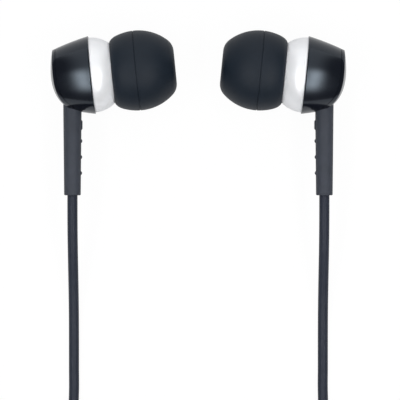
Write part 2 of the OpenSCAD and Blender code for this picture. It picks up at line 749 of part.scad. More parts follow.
// A pill-shaped body from y0 downwards, round in plan and round in section.
module pill(y0, len, w, t, corner_r, edge_r) {
    intersection() {
        translate([0, y0 - len / 2, 0]) linear_extrude(height = splitter_t) round_rect(w, len, corner_r);
        translate([0, y0 + past, axis_z]) rotate([90, 0, 0])
            linear_extrude(height = len + 2 * past) round_rect(w, t, edge_r);
    }
}

// A round bar or cutter along -Y.
module along_cord(x, y0, len, d) {
    translate([x, y0, axis_z]) rotate([90, 0, 0]) cylinder(h = len, d = d);
}

module splitter_body() {
    difference() {
        pill(splitter_y, splitter_len, splitter_w, splitter_t, splitter_corner_r, splitter_edge_r);
        for (x = [-1, 1])
            along_cord(x * twin_pitch / 2, splitter_y + past, splitter_len / 2 + past, arm_d + 2 * fit);
        along_cord(0, crimp_y, splitter_len / 2 + past, main_d + 2 * fit);
        translate([0, crimp_y, axis_z]) cube(crimp_size + 2 * fit * [1, 1, 1], center = true);
    }
}

module splitter_top() {
    color([0.07, 0.07, 0.08]) difference() {
        splitter_body();
        translate([-splitter_w, splitter_y - splitter_len - past, axis_z - splitter_t])
            cube([2 * splitter_w, splitter_len + 2 * past, splitter_t]);
    }
}

module splitter_bottom() {
    color([0.07, 0.07, 0.08]) difference() {
        splitter_body();
        translate([-splitter_w, splitter_y - splitter_len - past, axis_z])
            cube([2 * splitter_w, splitter_len + 2 * past, splitter_t]);
    }
}

module splitter_crimp() {
    half = crimp_size.y / 2;
    color([0.72, 0.72, 0.74]) difference() {
        translate([0, crimp_y, axis_z]) cube(crimp_size, center = true);
        for (x = [-1, 1]) along_cord(x * twin_pitch / 2, crimp_y + half + past, half + past, arm_d + 2 * fit);
        along_cord(0, crimp_y, half + past, main_d + 2 * fit);
    }
}

module splitter_cord_ends() {
    half = splitter_len / 2 - fit;
    color([0.16, 0.17, 0.20]) {
        for (x = [-1, 1]) along_cord(x * twin_pitch / 2, splitter_y, half, arm_d);
        along_cord(0, crimp_y - fit, half, main_d);
    }
}

module cord_slider() {
    top = splitter_y + slider_rest + slider_len;
    color([0.07, 0.07, 0.08]) difference() {
        pill(top, slider_len, slider_w, slider_t, slider_corner_r, slider_edge_r);
        for (x = [-1, 1])
            along_cord(x * twin_pitch / 2, top + past, slider_len + 2 * past, arm_d + 2 * slide_gap);
    }
}

// ---- Plug: contacts along +X, cord along -Y ----

plug_y = relief_end.y + plug_relief_len + grip_arm_len + grip_d / 2;
core_d = 1.0;
liner_d = 1.7;              // insulating tube round the core
sleeve_s = 7.6;             // end of the sleeve contact, from the grip's face
ring_s = [8.3, 10.1];       // the ring contact
tip_s = 10.8;               // start of the tip contact
buried = 2.0;               // how far the contacts reach into the grip
liner_past = 0.5;           // how far the insulators reach past them
core_past = 1.0;            // how far the core does
grip_chamfer = 0.7;
neck_d = 2.5;
root_d = 3.0;               // the sleeve contact inside the grip

// Children are drawn along Z, which becomes the contacts' +X, zero at the grip's face.
module on_pin() {
    translate([relief_end.x + grip_len / 2, plug_y, plug_z]) rotate([0, 90, 0]) children();
}

module pin_tube(s0, s1, outer_d, inner_d) {
    on_pin() translate([0, 0, s0]) difference() {
        cylinder(h = s1 - s0, d = outer_d);
        translate([0, 0, -past]) cylinder(h = s1 - s0 + 2 * past, d = inner_d);
    }
}

module plug_tip() {
    r = pin_d / 2;
    neck_r = neck_d / 2;
    // Distances from the start of the tip contact.
    land = 0.4;
    neck_s = [1.0, 1.3];
    shoulder_s = [1.9, 2.4];
    shoulder_r = [r - 0.15, r - 0.3];
    point_r = 0.7;
    color([0.83, 0.68, 0.36]) on_pin() rotate_extrude() polygon([
        [0, tip_s], [r, tip_s], [r, tip_s + land], [neck_r, tip_s + neck_s[0]], [neck_r, tip_s + neck_s[1]],
        [shoulder_r[0], tip_s + shoulder_s[0]], [shoulder_r[1], tip_s + shoulder_s[1]], [point_r, pin_len],
        [0, pin_len]
    ]);
}

module plug_ring() {
    color([0.83, 0.68, 0.36]) pin_tube(ring_s[0], ring_s[1], pin_d, liner_d + 2 * fit);
}

module plug_sleeve() {
    color([0.83, 0.68, 0.36]) union() {
        pin_tube(0, sleeve_s, pin_d, liner_d + 2 * fit);
        pin_tube(-buried, 0, root_d, liner_d + 2 * fit);
    }
}

module plug_insulators() {
    color([0.1, 0.1, 0.1]) union() {
        pin_tube(-buried - liner_past, tip_s, liner_d, core_d + 2 * fit);
        pin_tube(sleeve_s, ring_s[0], pin_d, core_d + 2 * fit);
        pin_tube(ring_s[1], tip_s, pin_d, core_d + 2 * fit);
    }
}

module plug_core() {
    color([0.78, 0.68, 0.42]) on_pin() translate([0, 0, -buried - core_past])
        cylinder(h = buried + core_past + tip_s, d = core_d);
}

// A turned body with chamfered ends, along Z.
module chamfered(h, d, c) {
    rotate_extrude() polygon([[0, 0], [d / 2 - c, 0], [d / 2, c], [d / 2, h - c], [d / 2 - c, h], [0, h]]);
}

module plug_grip() {
    color([0.07, 0.07, 0.08]) difference() {
        union() {
            on_pin() translate([0, 0, -grip_len]) chamfered(grip_len, grip_d, grip_chamfer);
            translate([relief_end.x, plug_y, plug_z]) rotate([90, 0, 0])
                cylinder(h = grip_d / 2 + grip_arm_len, d = grip_arm_d);
        }
        on_pin() translate([0, 0, -buried - fit]) cylinder(h = buried + past, d = root_d + 2 * fit);
        on_pin() translate([0, 0, -buried - core_past - fit]) cylinder(h = buried, d = liner_d + 2 * fit);
        translate([relief_end.x, plug_y - grip_d / 2 - grip_arm_len - past, plug_z]) rotate([-90, 0, 0])
            cylinder(h = grip_arm_len + past, d = main_d + 2 * fit);
    }
}

module plug_relief() {
    grooves = 4;
    groove_w = 0.6;
    groove_pitch = 1.6;
    groove_depth = 0.35;
    first = 1.4;
    r0 = 2.2;
    r1 = 1.65;
    function cone_r(s) = r0 + (r1 - r0) * s / plug_relief_len;
    color([0.07, 0.07, 0.08]) translate([relief_end.x, relief_end.y + plug_relief_len, plug_z])
        rotate([90, 0, 0]) difference() {
            rotate_extrude() polygon(concat([[0, 0], [r0, 0]],
                [for (i = [0:grooves - 1])
                    let (s = first + i * groove_pitch, far = s + groove_w, low = cone_r(s) - groove_depth)
                    each [[cone_r(s), s], [low, s], [low, far], [cone_r(far), far]]],
                [[r1, plug_relief_len], [0, plug_relief_len]]));
            translate([0, 0, -past]) cylinder(h = plug_relief_len + 2 * past, d = main_d + 2 * fit);
        }
}

module plug_cord_end() {
    color([0.16, 0.17, 0.20]) translate(relief_end) rotate([-90, 0, 0])
        cylinder(h = plug_relief_len + grip_arm_len - fit, d = main_d);
}

// ---- The whole ----

for (side = SIDES) {
    on_side(side) ear_tip();
    on_side(side) front_shell();
    on_side(side) nozzle_mesh();
    on_side(side) damper();
    on_side(side) driver_frame();
    on_side(side) diaphragm();
    on_side(side) voice_coil();
    on_side(side) pole_plate();
    on_side(side) magnet();
    on_side(side) yoke();
    on_side(side) terminal_board();
    on_side(side) rear_shell();
    on_side(side) rear_cap();
    on_side(side) strain_relief();
    on_side(side) cord_end();
    on_side(side) cord_clamp();
    on_side(side) lead_wires();
    on_side(side) arm_cord();
    on_side(side) arm_coil();
    on_side(side) arm_coil_tie();
    on_side(side) arm_lead_in();
}
splitter_top();
splitter_bottom();
splitter_crimp();
splitter_cord_ends();
cord_slider();
main_cord();
main_coil();
main_coil_tie();
plug_cord();
plug_tip();
plug_ring();
plug_sleeve();
plug_insulators();
plug_core();
plug_grip();
plug_relief();
plug_cord_end();
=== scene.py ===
"""Looks of a pair of wired in-ear earphones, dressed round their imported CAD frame.

Sizes in the classes are millimetres; finished meshes are in metres, in the frame's own place. Each bud is drawn
on its own axis: u runs from the rear shell's rim to the nose, v across it along the table, w up from the table.
"""

from __future__ import annotations

import json
import logging
import math
from collections.abc import Callable, Sequence
from dataclasses import dataclass, field
from enum import Enum

import bmesh
import bpy
from mathutils import Matrix, Vector

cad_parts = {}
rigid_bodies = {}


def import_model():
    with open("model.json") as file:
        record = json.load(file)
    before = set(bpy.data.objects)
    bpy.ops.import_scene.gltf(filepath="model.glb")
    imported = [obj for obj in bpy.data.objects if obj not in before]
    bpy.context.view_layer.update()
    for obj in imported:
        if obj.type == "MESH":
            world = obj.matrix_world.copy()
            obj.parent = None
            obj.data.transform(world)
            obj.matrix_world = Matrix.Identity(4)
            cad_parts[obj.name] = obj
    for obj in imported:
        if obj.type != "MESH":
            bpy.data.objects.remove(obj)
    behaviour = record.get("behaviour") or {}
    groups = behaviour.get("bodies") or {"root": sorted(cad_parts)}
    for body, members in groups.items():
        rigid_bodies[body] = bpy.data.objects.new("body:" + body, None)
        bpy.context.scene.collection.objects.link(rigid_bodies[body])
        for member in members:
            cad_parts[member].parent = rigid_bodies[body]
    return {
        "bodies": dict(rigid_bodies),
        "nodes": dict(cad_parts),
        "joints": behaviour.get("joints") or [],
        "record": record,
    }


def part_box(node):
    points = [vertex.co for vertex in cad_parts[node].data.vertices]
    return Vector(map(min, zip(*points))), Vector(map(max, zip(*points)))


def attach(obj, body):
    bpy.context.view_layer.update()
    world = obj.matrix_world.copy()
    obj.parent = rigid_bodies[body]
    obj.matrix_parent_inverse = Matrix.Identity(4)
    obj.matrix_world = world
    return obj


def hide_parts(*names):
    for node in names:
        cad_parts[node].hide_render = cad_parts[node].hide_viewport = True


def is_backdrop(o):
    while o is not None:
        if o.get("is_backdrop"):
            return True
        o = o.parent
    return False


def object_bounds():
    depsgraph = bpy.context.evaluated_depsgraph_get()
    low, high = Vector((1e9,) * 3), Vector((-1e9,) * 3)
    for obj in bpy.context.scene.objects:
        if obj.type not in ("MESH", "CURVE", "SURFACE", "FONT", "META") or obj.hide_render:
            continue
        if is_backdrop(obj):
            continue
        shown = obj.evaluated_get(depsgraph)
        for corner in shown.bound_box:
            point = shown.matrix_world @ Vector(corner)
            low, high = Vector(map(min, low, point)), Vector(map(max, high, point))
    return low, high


LOG = logging.getLogger("earphones")
MM = 0.001
TO_METRES = Matrix.Scale(MM, 4)
ROOT_BODY = "earphones"
SHARP_DEGREES = 32.0

Point = tuple[float, float]
Place = tuple[float, float, float]
Colour = tuple[float, float, float, float]
WHITE: Colour = (1.0, 1.0, 1.0, 1.0)


class Side(Enum):
    """One of the two buds; the value mirrors X."""

    LEFT = 1
    RIGHT = -1

    def node(self, piece: str) -> str:
        """The name of one of this side's pieces or CAD nodes."""
        return f"{self.name.lower()}_{piece}"

    def mirror(self, place: Sequence[float]) -> Vector:
        """A place drawn for the left side, on this side."""
        return Vector((place[0] * self.value, place[1], place[2]))


# ---- Colours, outlines and meshes ----


def srgb(red: int, green: int, blue: int) -> Colour:
    """Makes a display colour linear.

    Args:
        red, green, blue: Display values from 0 to 255.

    Returns:
        The linear colour with an alpha of 1.
    """

    def linear(value: int) -> float:
        """One channel, made linear."""
        share = value / 255
        return share / 12.92 if share <= 0.04045 else ((share + 0.055) / 1.055) ** 2.4

    return linear(red), linear(green), linear(blue), 1.0


def evenly(first: float, last: float, steps: int) -> list[float]:
    """Values at even steps, both ends among them."""
    return [first + (last - first) * i / steps for i in range(steps + 1)]


def around(centre: Point, radius: float, degrees: float) -> Point:
    """The point of a circle at an angle."""
    turn = math.radians(degrees)
    return centre[0] + radius * math.cos(turn), centre[1] + radius * math.sin(turn)


def arc(centre: Point, radius: float, first: float, last: float, steps: int) -> list[Point]:
    """Points of an arc between two angles in degrees, both ends among them."""
    return [around(centre, radius, degrees) for degrees in evenly(first, last, steps)]


def bezier(handles: Sequence[Point], steps: int) -> list[Point]:
    """Points of a cubic curve.

    Args:
        handles: Its start, two handles and its end.
        steps: How many steps it takes.

    Returns:
        The points, both ends among them.
    """
    points = []
    for t in evenly(0.0, 1.0, steps):
        shares = [math.comb(3, k) * (1 - t) ** (3 - k) * t**k for k in range(4)]
        points.append(tuple(sum(s * handle[axis] for s, handle in zip(shares, handles)) for axis in (0, 1)))
    return points


def rod(radius: float, first: float, last: float) -> list[Point]:
    """The outline of a plain round rod between two places on its axis."""
    return [(first, 0.0), (first, radius), (last, radius), (last, 0.0)]


def barrel(radius: float, first: float, last: float, edge: float, steps: int) -> list[Point]:
    """The outer line of a turned form between two faces.

    Args:
        radius: Its radius.
        first, last: Where its faces stand on its axis.
        edge: The radius of its rounded edges.
        steps: How many steps each edge takes.

    Returns:
        The points from face to face.
    """
    return [
        *arc((first + edge, radius - edge), edge, 180, 90, steps),
        *arc((last - edge, radius - edge), edge, 90, 0, steps),
    ]


def outward(mesh: bpy.types.Mesh) -> bpy.types.Mesh:
    """Turns a closed mesh's faces outwards and smooths all but its sharp edges.

    Args:
        mesh: The mesh.

    Returns:
        The same mesh.
    """
    shape = bmesh.new()
    shape.from_mesh(mesh)
    if shape.calc_volume(signed=True) < 0:
        bmesh.ops.reverse_faces(shape, faces=shape.faces)
    shape.to_mesh(mesh)
    shape.free()
    mesh.shade_smooth()
    mesh.set_sharp_from_angle(angle=math.radians(SHARP_DEGREES))
    return mesh


def ring_skin(
    name: str,
    rings: Sequence[Sequence[Vector]],
    loop: bool = False,
    poles: Sequence[Vector] = (),
    uv_name: str = "",
    uv_at: Callable[[int, int], Point] | None = None,
) -> bpy.types.Mesh:
    """A closed skin over rings of equally many points.

    Args:
        name: The mesh's name.
        rings: The rings in order, each of them closed.
        loop: Whether the last ring joins the first.
        poles: The middles of the two end faces; without them, an end is one flat face.
        uv_name: The name of the skin's UV map.
        uv_at: Gives the UV at a point of a ring, by both counts; a seam counts on instead of starting again.

    Returns:
        The mesh, with its faces outwards.
    """
    shape = bmesh.new()
    layer = shape.loops.layers.uv.new(uv_name) if uv_at else None
    rows = [[shape.verts.new(p) for p in ring] for ring in rings]
    count = len(rows[0])
    for j in range(len(rows) if loop else len(rows) - 1):
        row, after = rows[j], rows[(j + 1) % len(rows)]
        for k in range(count):
            n = (k + 1) % count
            face = shape.faces.new((row[k], row[n], after[n], after[k]))
            if uv_at:
                for corner, spot in zip(face.loops, ((k, j), (k + 1, j), (k + 1, j + 1), (k, j + 1))):
                    corner[layer].uv = uv_at(*spot)
    if poles:
        for row, pole in zip((rows[0], rows[-1]), poles):
            middle = shape.verts.new(pole)
            for k in range(count):
                shape.faces.new((row[k], row[(k + 1) % count], middle))
    elif not loop:
        shape.faces.new(rows[0][::-1])
        shape.faces.new(rows[-1])
    bmesh.ops.recalc_face_normals(shape, faces=shape.faces)
    mesh = bpy.data.meshes.new(name)
    shape.to_mesh(mesh)
    shape.free()
    return outward(mesh)


def add_object(name: str, data: bpy.types.ID) -> bpy.types.Object:
    """Puts a new object into the scene.

    Args:
        name: Its name.
        data: Its mesh or camera.

    Returns:
        The object.
    """
    made = bpy.data.objects.new(name, data)
    bpy.context.scene.collection.objects.link(made)
    return made


# ---- Geometry Nodes ----


class Tree:
    """A Geometry Nodes tree under construction."""

    def __init__(self, name: str, inputs: dict[str, str]) -> None:
        """Starts the tree.

        Args:
            name: The tree's name.
            inputs: The sockets it takes beside its geometry and material, as name and socket type.
        """
        self.group = bpy.data.node_groups.new(name, "GeometryNodeTree")
        face = self.group.interface
        face.new_socket("Geometry", in_out="INPUT", socket_type="NodeSocketGeometry")
        for label, kind in {**inputs, "Material": "NodeSocketMaterial"}.items():
            face.new_socket(label, in_out="INPUT", socket_type=kind)
        face.new_socket("Geometry", in_out="OUTPUT", socket_type="NodeSocketGeometry")
        self.given = self.add("NodeGroupInput").outputs

    def add(self, kind: str, **settings: object) -> bpy.types.Node:
        """Adds a node.

        Args:
            kind: The node's type.
            settings: Properties of the node.

        Returns:
            The node.
        """
        node = self.group.nodes.new(kind)
        for key, value in settings.items():
            setattr(node, key, value)
        return node

    def wire(self, *pairs: tuple[bpy.types.NodeSocket, bpy.types.NodeSocket]) -> None:
        """Joins pairs of sockets, the giving one first."""
        for source, target in pairs:
            self.group.links.new(source, target)

    def end(self, geometry: bpy.types.NodeSocket) -> None:
        """Ends the tree in real, dressed geometry.

        Args:
            geometry: What the tree has made.
        """
        real = self.add("GeometryNodeRealizeInstances")
        dressed = self.add("GeometryNodeSetMaterial")
        out = self.add("NodeGroupOutput")
        self.wire(
            (geometry, real.inputs["Geometry"]),
            (real.outputs["Geometry"], dressed.inputs["Geometry"]),
            (self.given["Material"], dressed.inputs["Material"]),
            (dressed.outputs["Geometry"], out.inputs["Geometry"]),
        )

    def grow(self, name: str, source: bpy.types.Mesh, **values: object) -> bpy.types.Mesh:
        """Runs the tree on a mesh.

        Args:
            name: The new mesh's name.
            source: The mesh that the tree starts from.
            values: The tree's inputs, with underscores for the spaces in their names.

        Returns:
            The plain mesh that came out.
        """
        carrier = add_object(name, source)
        modifier = carrier.modifiers.new("tree", "NODES")
        modifier.node_group = self.group
        for item in self.group.interface.items_tree:
            key = item.name.replace(" ", "_")
            if item.in_out == "INPUT" and key in values:
                modifier[item.identifier] = values[key]
        graph = bpy.context.evaluated_depsgraph_get()
        mesh = bpy.data.meshes.new_from_object(carrier.evaluated_get(graph))
        mesh.name = name
        carrier.modifiers.remove(modifier)
        bpy.data.objects.remove(carrier)
        return mesh


def turning_tree(merge_distance: float = 1e-4) -> Tree:
    """A tree that turns an outline about an axis.

    Args:
        merge_distance: How near to each other points on the axis are one point, in millimetres.

    Returns:
        The tree; X of its outline counts from the ring outwards, Y along the axis.
    """
    tree = Tree("turned_form", {"Segments": "NodeSocketInt", "Ring Radius": "NodeSocketFloat"})
    ring = tree.add("GeometryNodeCurvePrimitiveCircle")
    outline = tree.add("GeometryNodeMeshToCurve")
    skin = tree.add("GeometryNodeCurveToMesh")
    merged = tree.add("GeometryNodeMergeByDistance")
    merged.inputs["Distance"].default_value = merge_distance
    tree.wire(
        (tree.given["Segments"], ring.inputs["Resolution"]),
        (tree.given["Ring Radius"], ring.inputs["Radius"]),
        (tree.given["Geometry"], outline.inputs["Mesh"]),
        (ring.outputs["Curve"], skin.inputs["Curve"]),
        (outline.outputs["Curve"], skin.inputs["Profile Curve"]),
        (skin.outputs["Mesh"], merged.inputs["Geometry"]),
    )
    tree.end(merged.outputs["Geometry"])
    return tree


def placing_tree(name: str, operation: str) -> Tree:
    """A tree that puts copies of a tool on places and joins them to a solid or cuts them out of it.

    Args:
        name: The tree's name.
        operation: UNION or DIFFERENCE.

    Returns:
        The tree; Places is an object whose points are the places, Tool the solid that goes there.
    """
    tree = Tree(name, {"Places": "NodeSocketObject", "Tool": "NodeSocketObject"})
    places = tree.add("GeometryNodeObjectInfo")
    tool = tree.add("GeometryNodeObjectInfo")
    copies = tree.add("GeometryNodeInstanceOnPoints")
    real = tree.add("GeometryNodeRealizeInstances")
    solid = tree.add("GeometryNodeMeshBoolean", operation=operation, solver="EXACT")
    tree.wire(
        (tree.given["Places"], places.inputs["Object"]),
        (tree.given["Tool"], tool.inputs["Object"]),
        (places.outputs["Geometry"], copies.inputs["Points"]),
        (tool.outputs["Geometry"], copies.inputs["Instance"]),
        (copies.outputs["Instances"], real.inputs["Geometry"]),
        (tree.given["Geometry"], solid.inputs["Mesh 1" if operation == "DIFFERENCE" else "Mesh 2"]),
        (real.outputs["Geometry"], solid.inputs["Mesh 2"]),
    )
    tree.end(solid.outputs["Mesh"])
    return tree


# ---- Shader nodes ----

# The Mix node's colour sockets, which share their names with its other sockets.
MIX_FIRST, MIX_SECOND, MIX_RESULT = 6, 7, 2


class Shading:
    """A shader node tree under construction: a material's, the world's or a group's."""

    def __init__(self, tree: bpy.types.NodeTree) -> None:
        """Keeps the tree that the nodes go into."""
        self.tree = tree

    def add(self, kind: str, values: dict[str, object] | None = None, **settings: object) -> bpy.types.Node:
        """Adds a node.

        Args:
            kind: The node's type.
            values: Input values by socket name; a socket among them is linked.
            settings: Properties of the node.

        Returns:
            The node.
        """
        node = self.tree.nodes.new(kind)
        for key, value in settings.items():
            setattr(node, key, value)
        for key, value in (values or {}).items():
            self.set(node.inputs[key], value)
        return node

    def set(self, target: bpy.types.NodeSocket, value: object) -> None:
        """Gives a socket a value or a link.

        Args:
            target: The socket.
            value: The value, or the socket that it comes from.
        """
        if isinstance(value, bpy.types.NodeSocket):
            self.tree.links.new(value, target)
        else:
            target.default_value = value

    def math(self, operation: str, first: object, second: object = 0.0) -> bpy.types.NodeSocket:
        """The result of a sum.

        Args:
            operation: The Math node's operation.
            first, second: What it works on, values or sockets.

        Returns:
            The result.
        """
        node = self.add("ShaderNodeMath", operation=operation)
        self.set(node.inputs[0], first)
        self.set(node.inputs[1], second)
        return node.outputs[0]

    def times(self, first: object, second: object) -> bpy.types.NodeSocket:
        """The product of two values."""
        return self.math("MULTIPLY", first, second)

    def spread(
        self, value: object, low: object, high: object, span: tuple[object, object] = (0.0, 1.0),
        **settings: object,
    ) -> bpy.types.NodeSocket:
        """Maps a value from its span onto low to high, and holds it there."""
        ends = {"From Min": span[0], "From Max": span[1], "To Min": low, "To Max": high}
        return self.add("ShaderNodeMapRange", {"Value": value, **ends}, **settings).outputs["Result"]

    def fall(self, value: object, span: Point) -> bpy.types.NodeSocket:
        """A smooth fall from 1 to 0 over a span."""
        return self.spread(value, 1.0, 0.0, span, interpolation_type="SMOOTHSTEP")

    def bell(self, value: object, middle: float, half: float, power: float) -> bpy.types.NodeSocket:
        """A bump, 1 high in the middle and 0.5 at half to each side; a higher power makes it squarer."""
        off = self.math("ABSOLUTE", self.math("SUBTRACT", value, middle))
        return self.math("POWER", 0.5, self.math("POWER", self.math("DIVIDE", off, half), power))

    def mix(self, share: object, first: object, second: object) -> bpy.types.NodeSocket:
        """A colour between two colours.

        Args:
            share: How much of the second there is.
            first, second: The colours.

        Returns:
            The mixed colour.
        """
        node = self.add("ShaderNodeMix", {"Factor": share}, data_type="RGBA")
        self.set(node.inputs[MIX_FIRST], first)
        self.set(node.inputs[MIX_SECOND], second)
        return node.outputs[MIX_RESULT]

    def noise(self, vector: object, scale: object, detail: float = 2.0) -> bpy.types.NodeSocket:
        """Plain noise at a scale, in cycles per unit of its vector."""
        node = self.add("ShaderNodeTexNoise", {"Vector": vector, "Scale": scale, "Detail": detail})
        return node.outputs["Fac"]

    def stretched(self, vector: object, scale: Place, detail: float = 2.0) -> bpy.types.NodeSocket:
        """Noise stretched along an axis, at a scale for each axis."""
        drawn = self.add("ShaderNodeMapping", {"Vector": vector, "Scale": scale})
        return self.noise(drawn.outputs["Vector"], 1.0, detail)

    def rays(self) -> tuple[bpy.types.NodeSocket, bpy.types.NodeSocket]:
        """Whether a ray comes from the camera, straight or through glass, and whether it is a reflection."""
        path = self.add("ShaderNodeLightPath").outputs
        return self.math("MAXIMUM", path["Is Camera Ray"], path["Is Transmission Ray"]), path["Is Glossy Ray"]


class Group(Shading):
    """A shader group with named inputs and outputs."""

    def __init__(self, name: str, inputs: dict[str, float | None], outputs: Sequence[str]) -> None:
        """Starts the group.

        Args:
            name: Its name.
            inputs: Its inputs with their values; None marks a vector.
            outputs: Its outputs, all masks or heights.
        """
        super().__init__(bpy.data.node_groups.new(name, "ShaderNodeTree"))
        for label, value in inputs.items():
            kind = "NodeSocketVector" if value is None else "NodeSocketFloat"
            socket = self.tree.interface.new_socket(label, in_out="INPUT", socket_type=kind)
            if value is not None:
                socket.default_value = value
        for label in outputs:
            self.tree.interface.new_socket(label, in_out="OUTPUT", socket_type="NodeSocketFloat")
        self.given = self.add("NodeGroupInput").outputs
        self.out = self.add("NodeGroupOutput").inputs


def grain_group(broader: float = 0.07, mottle_span: Point = (-0.6, 1.6)) -> Group:
    """Spark-eroded mould grain.

    Args:
        broader: The mottling's scale as a share of the grain's.
        mottle_span: What the mottling's noise is spread onto, to use its whole range.

    Returns:
        The group, which gives a fine height and a broad mottling.
    """
    group = Group("mould_grain", {"Vector": None, "Size mm": 0.1}, ("Height", "Mottle"))
    scale = group.math("DIVIDE", 1 / MM, group.given["Size mm"])
    broad = group.noise(group.given["Vector"], group.times(scale, broader))
    group.set(group.out["Height"], group.noise(group.given["Vector"], scale, 3.0))
    group.set(group.out["Mottle"], group.spread(broad, *mottle_span))
    return group


def marks_group(
    rarity: float = 6.0, largest: float = 0.05, broader: float = 0.35, smear_span: Point = (-1.1, 2.1)
) -> Group:
    """Traces of handling.

    Args:
        rarity: The power that leaves few cells with a speck.
        largest: The largest speck as a share of a cell.
        broader: The smears' scale as a share of the cells'.
        smear_span: What the smears' noise is spread onto, to use its whole range.

    Returns:
        The group, which gives sparse dust specks and broad smears.
    """
    group = Group("handling_marks", {"Vector": None, "Spacing mm": 1.6}, ("Specks", "Smears"))
    scale = group.math("DIVIDE", 1 / MM, group.given["Spacing mm"])
    cells = group.add("ShaderNodeTexVoronoi", {"Vector": group.given["Vector"], "Scale": scale}).outputs
    chosen = group.add("ShaderNodeSeparateColor", {"Color": cells["Color"]}).outputs["Red"]
    size = group.times(group.math("POWER", chosen, rarity), largest)
    smears = group.noise(group.given["Vector"], group.times(scale, broader), 4.0)
    group.set(group.out["Specks"], group.math("LESS_THAN", cells["Distance"], size))
    group.set(group.out["Smears"], group.spread(smears, *smear_span))
    return group


def wear_group(sharpest: float = 0.62, patch_scale: float = 900.0, patch_span: Point = (-0.4, 1.5)) -> Group:
    """Rubbed edges.

    Args:
        sharpest: The pointiness at which an edge is fully worn.
        patch_scale: The scale of the patches that break up the wear.
        patch_span: What the patches' noise is spread onto, to use its whole range.

    Returns:
        The group, which gives the wear where the surface is convex.
    """
    group = Group("edge_wear", {"Vector": None, "Edge": 0.53}, ("Wear",))
    sharp = group.add("ShaderNodeNewGeometry").outputs["Pointiness"]
    worn = group.spread(sharp, 0.0, 1.0, (group.given["Edge"], sharpest))
    patches = group.spread(group.noise(group.given["Vector"], patch_scale, 4.0), *patch_span)
    group.set(group.out["Wear"], group.times(worn, patches))
    return group


@dataclass
class Effects:
    """The shader groups that the finishes share."""

    grain: Group = field(default_factory=grain_group)
    marks: Group = field(default_factory=marks_group)
    wear: Group = field(default_factory=wear_group)


class Paint(Shading):
    """A material under construction."""

    def __init__(self, name: str, effects: Effects) -> None:
        """Starts the material.

        Args:
            name: Its name.
            effects: The groups that it may use.
        """
        self.material = bpy.data.materials.new(name)
        self.material.use_nodes = True
        super().__init__(self.material.node_tree)
        self.effects = effects
        self.shader = self.tree.nodes["Principled BSDF"]
        coordinates = self.add("ShaderNodeTexCoord").outputs
        self.place, self.uv = coordinates["Object"], coordinates["UV"]

    def effect(self, group: Group, **values: object) -> bpy.types.bpy_prop_collection:
        """Adds a shared group over the piece's place.

        Args:
            group: The group.
            values: Its other inputs, with underscores for the spaces in their names.

        Returns:
            The group's outputs.
        """
        node = self.add("ShaderNodeGroup", {"Vector": self.place}, node_tree=group.tree)
        for key, value in values.items():
            self.set(node.inputs[key.replace("_", " ")], value)
        return node.outputs

    def surface(self, **values: object) -> None:
        """Sets the shader's sockets, with underscores for the spaces in their names."""
        for key, value in values.items():
            self.set(self.shader.inputs[key.replace("_", " ")], value)

    def bump(self, height: object, depth: float, below: object = None) -> bpy.types.NodeSocket:
        """A bent normal.

        Args:
            height: The height that bends it.
            depth: How deep that is, in millimetres.
            below: Another bump that this one lies on.

        Returns:
            The normal.
        """
        node = self.add("ShaderNodeBump", {"Height": height, "Distance": depth * MM, "Strength": 1.0})
        if below is not None:
            self.set(node.inputs["Normal"], below)
        return node.outputs["Normal"]


# ---- Finishes ----


@dataclass(frozen=True)
class Finish:
    """What every finish has: two tones that it wanders between, its roughness and how far that varies."""

    name: str
    base: Colour
    second: Colour
    roughness: float
    spread: float = 0.04
    dust: Colour = (0.16, 0.17, 0.18, 1.0)
    dusting: float = 0.0

    def make(self, effects: Effects) -> bpy.types.Material:
        """Makes the material.

        Args:
            effects: The shared shader groups.

        Returns:
            The finished material.
        """
        paint = Paint(self.name, effects)
        self.dress(paint)
        return paint.material

    def dress(self, paint: Paint) -> None:
        """Sets the material's shader; each kind of finish does it in its own way."""
        raise NotImplementedError

    def tones(self, paint: Paint, share: object) -> bpy.types.NodeSocket:
        """The colour between the two tones."""
        return paint.mix(share, self.base, self.second)

    def rough(self, paint: Paint, share: object) -> bpy.types.NodeSocket:
        """The roughness, varied by a mask."""
        return paint.spread(share, self.roughness - self.spread, self.roughness + self.spread)

    def dusted(self, paint: Paint, colour: object, specks: object) -> bpy.types.NodeSocket:
        """The colour with specks of dust on it."""
        return paint.mix(paint.times(specks, self.dusting), colour, self.dust)


@dataclass(frozen=True)
class Moulded(Finish):
    """A moulded, dipped or sprayed finish with a fine grain."""

    grain: float = 0.12
    grain_depth: float = 0.004
    metallic: float = 0.0
    smear: float = 0.0
    worn: Colour | None = None
    wear: float = 0.6
    specular: float = 0.5
    tint: Colour = WHITE

    def dress(self, paint: Paint) -> None:
        """Sets the shader: mottled colour, worn edges, dust, smears and grain.

        Args:
            paint: The material.
        """
        grain = paint.effect(paint.effects.grain, Size_mm=self.grain)
        marks = paint.effect(paint.effects.marks)
        colour = self.tones(paint, grain["Mottle"])
        if self.worn is not None:
            wear = paint.effect(paint.effects.wear)["Wear"]
            colour = paint.mix(paint.times(wear, self.wear), colour, self.worn)
        smears = paint.times(marks["Smears"], self.smear)
        paint.surface(
            Base_Color=self.dusted(paint, colour, marks["Specks"]),
            Roughness=paint.math("ADD", self.rough(paint, grain["Mottle"]), smears),
            Metallic=self.metallic,
            Specular_IOR_Level=self.specular,
            Specular_Tint=self.tint,
            Normal=paint.bump(grain["Height"], self.grain_depth),
        )


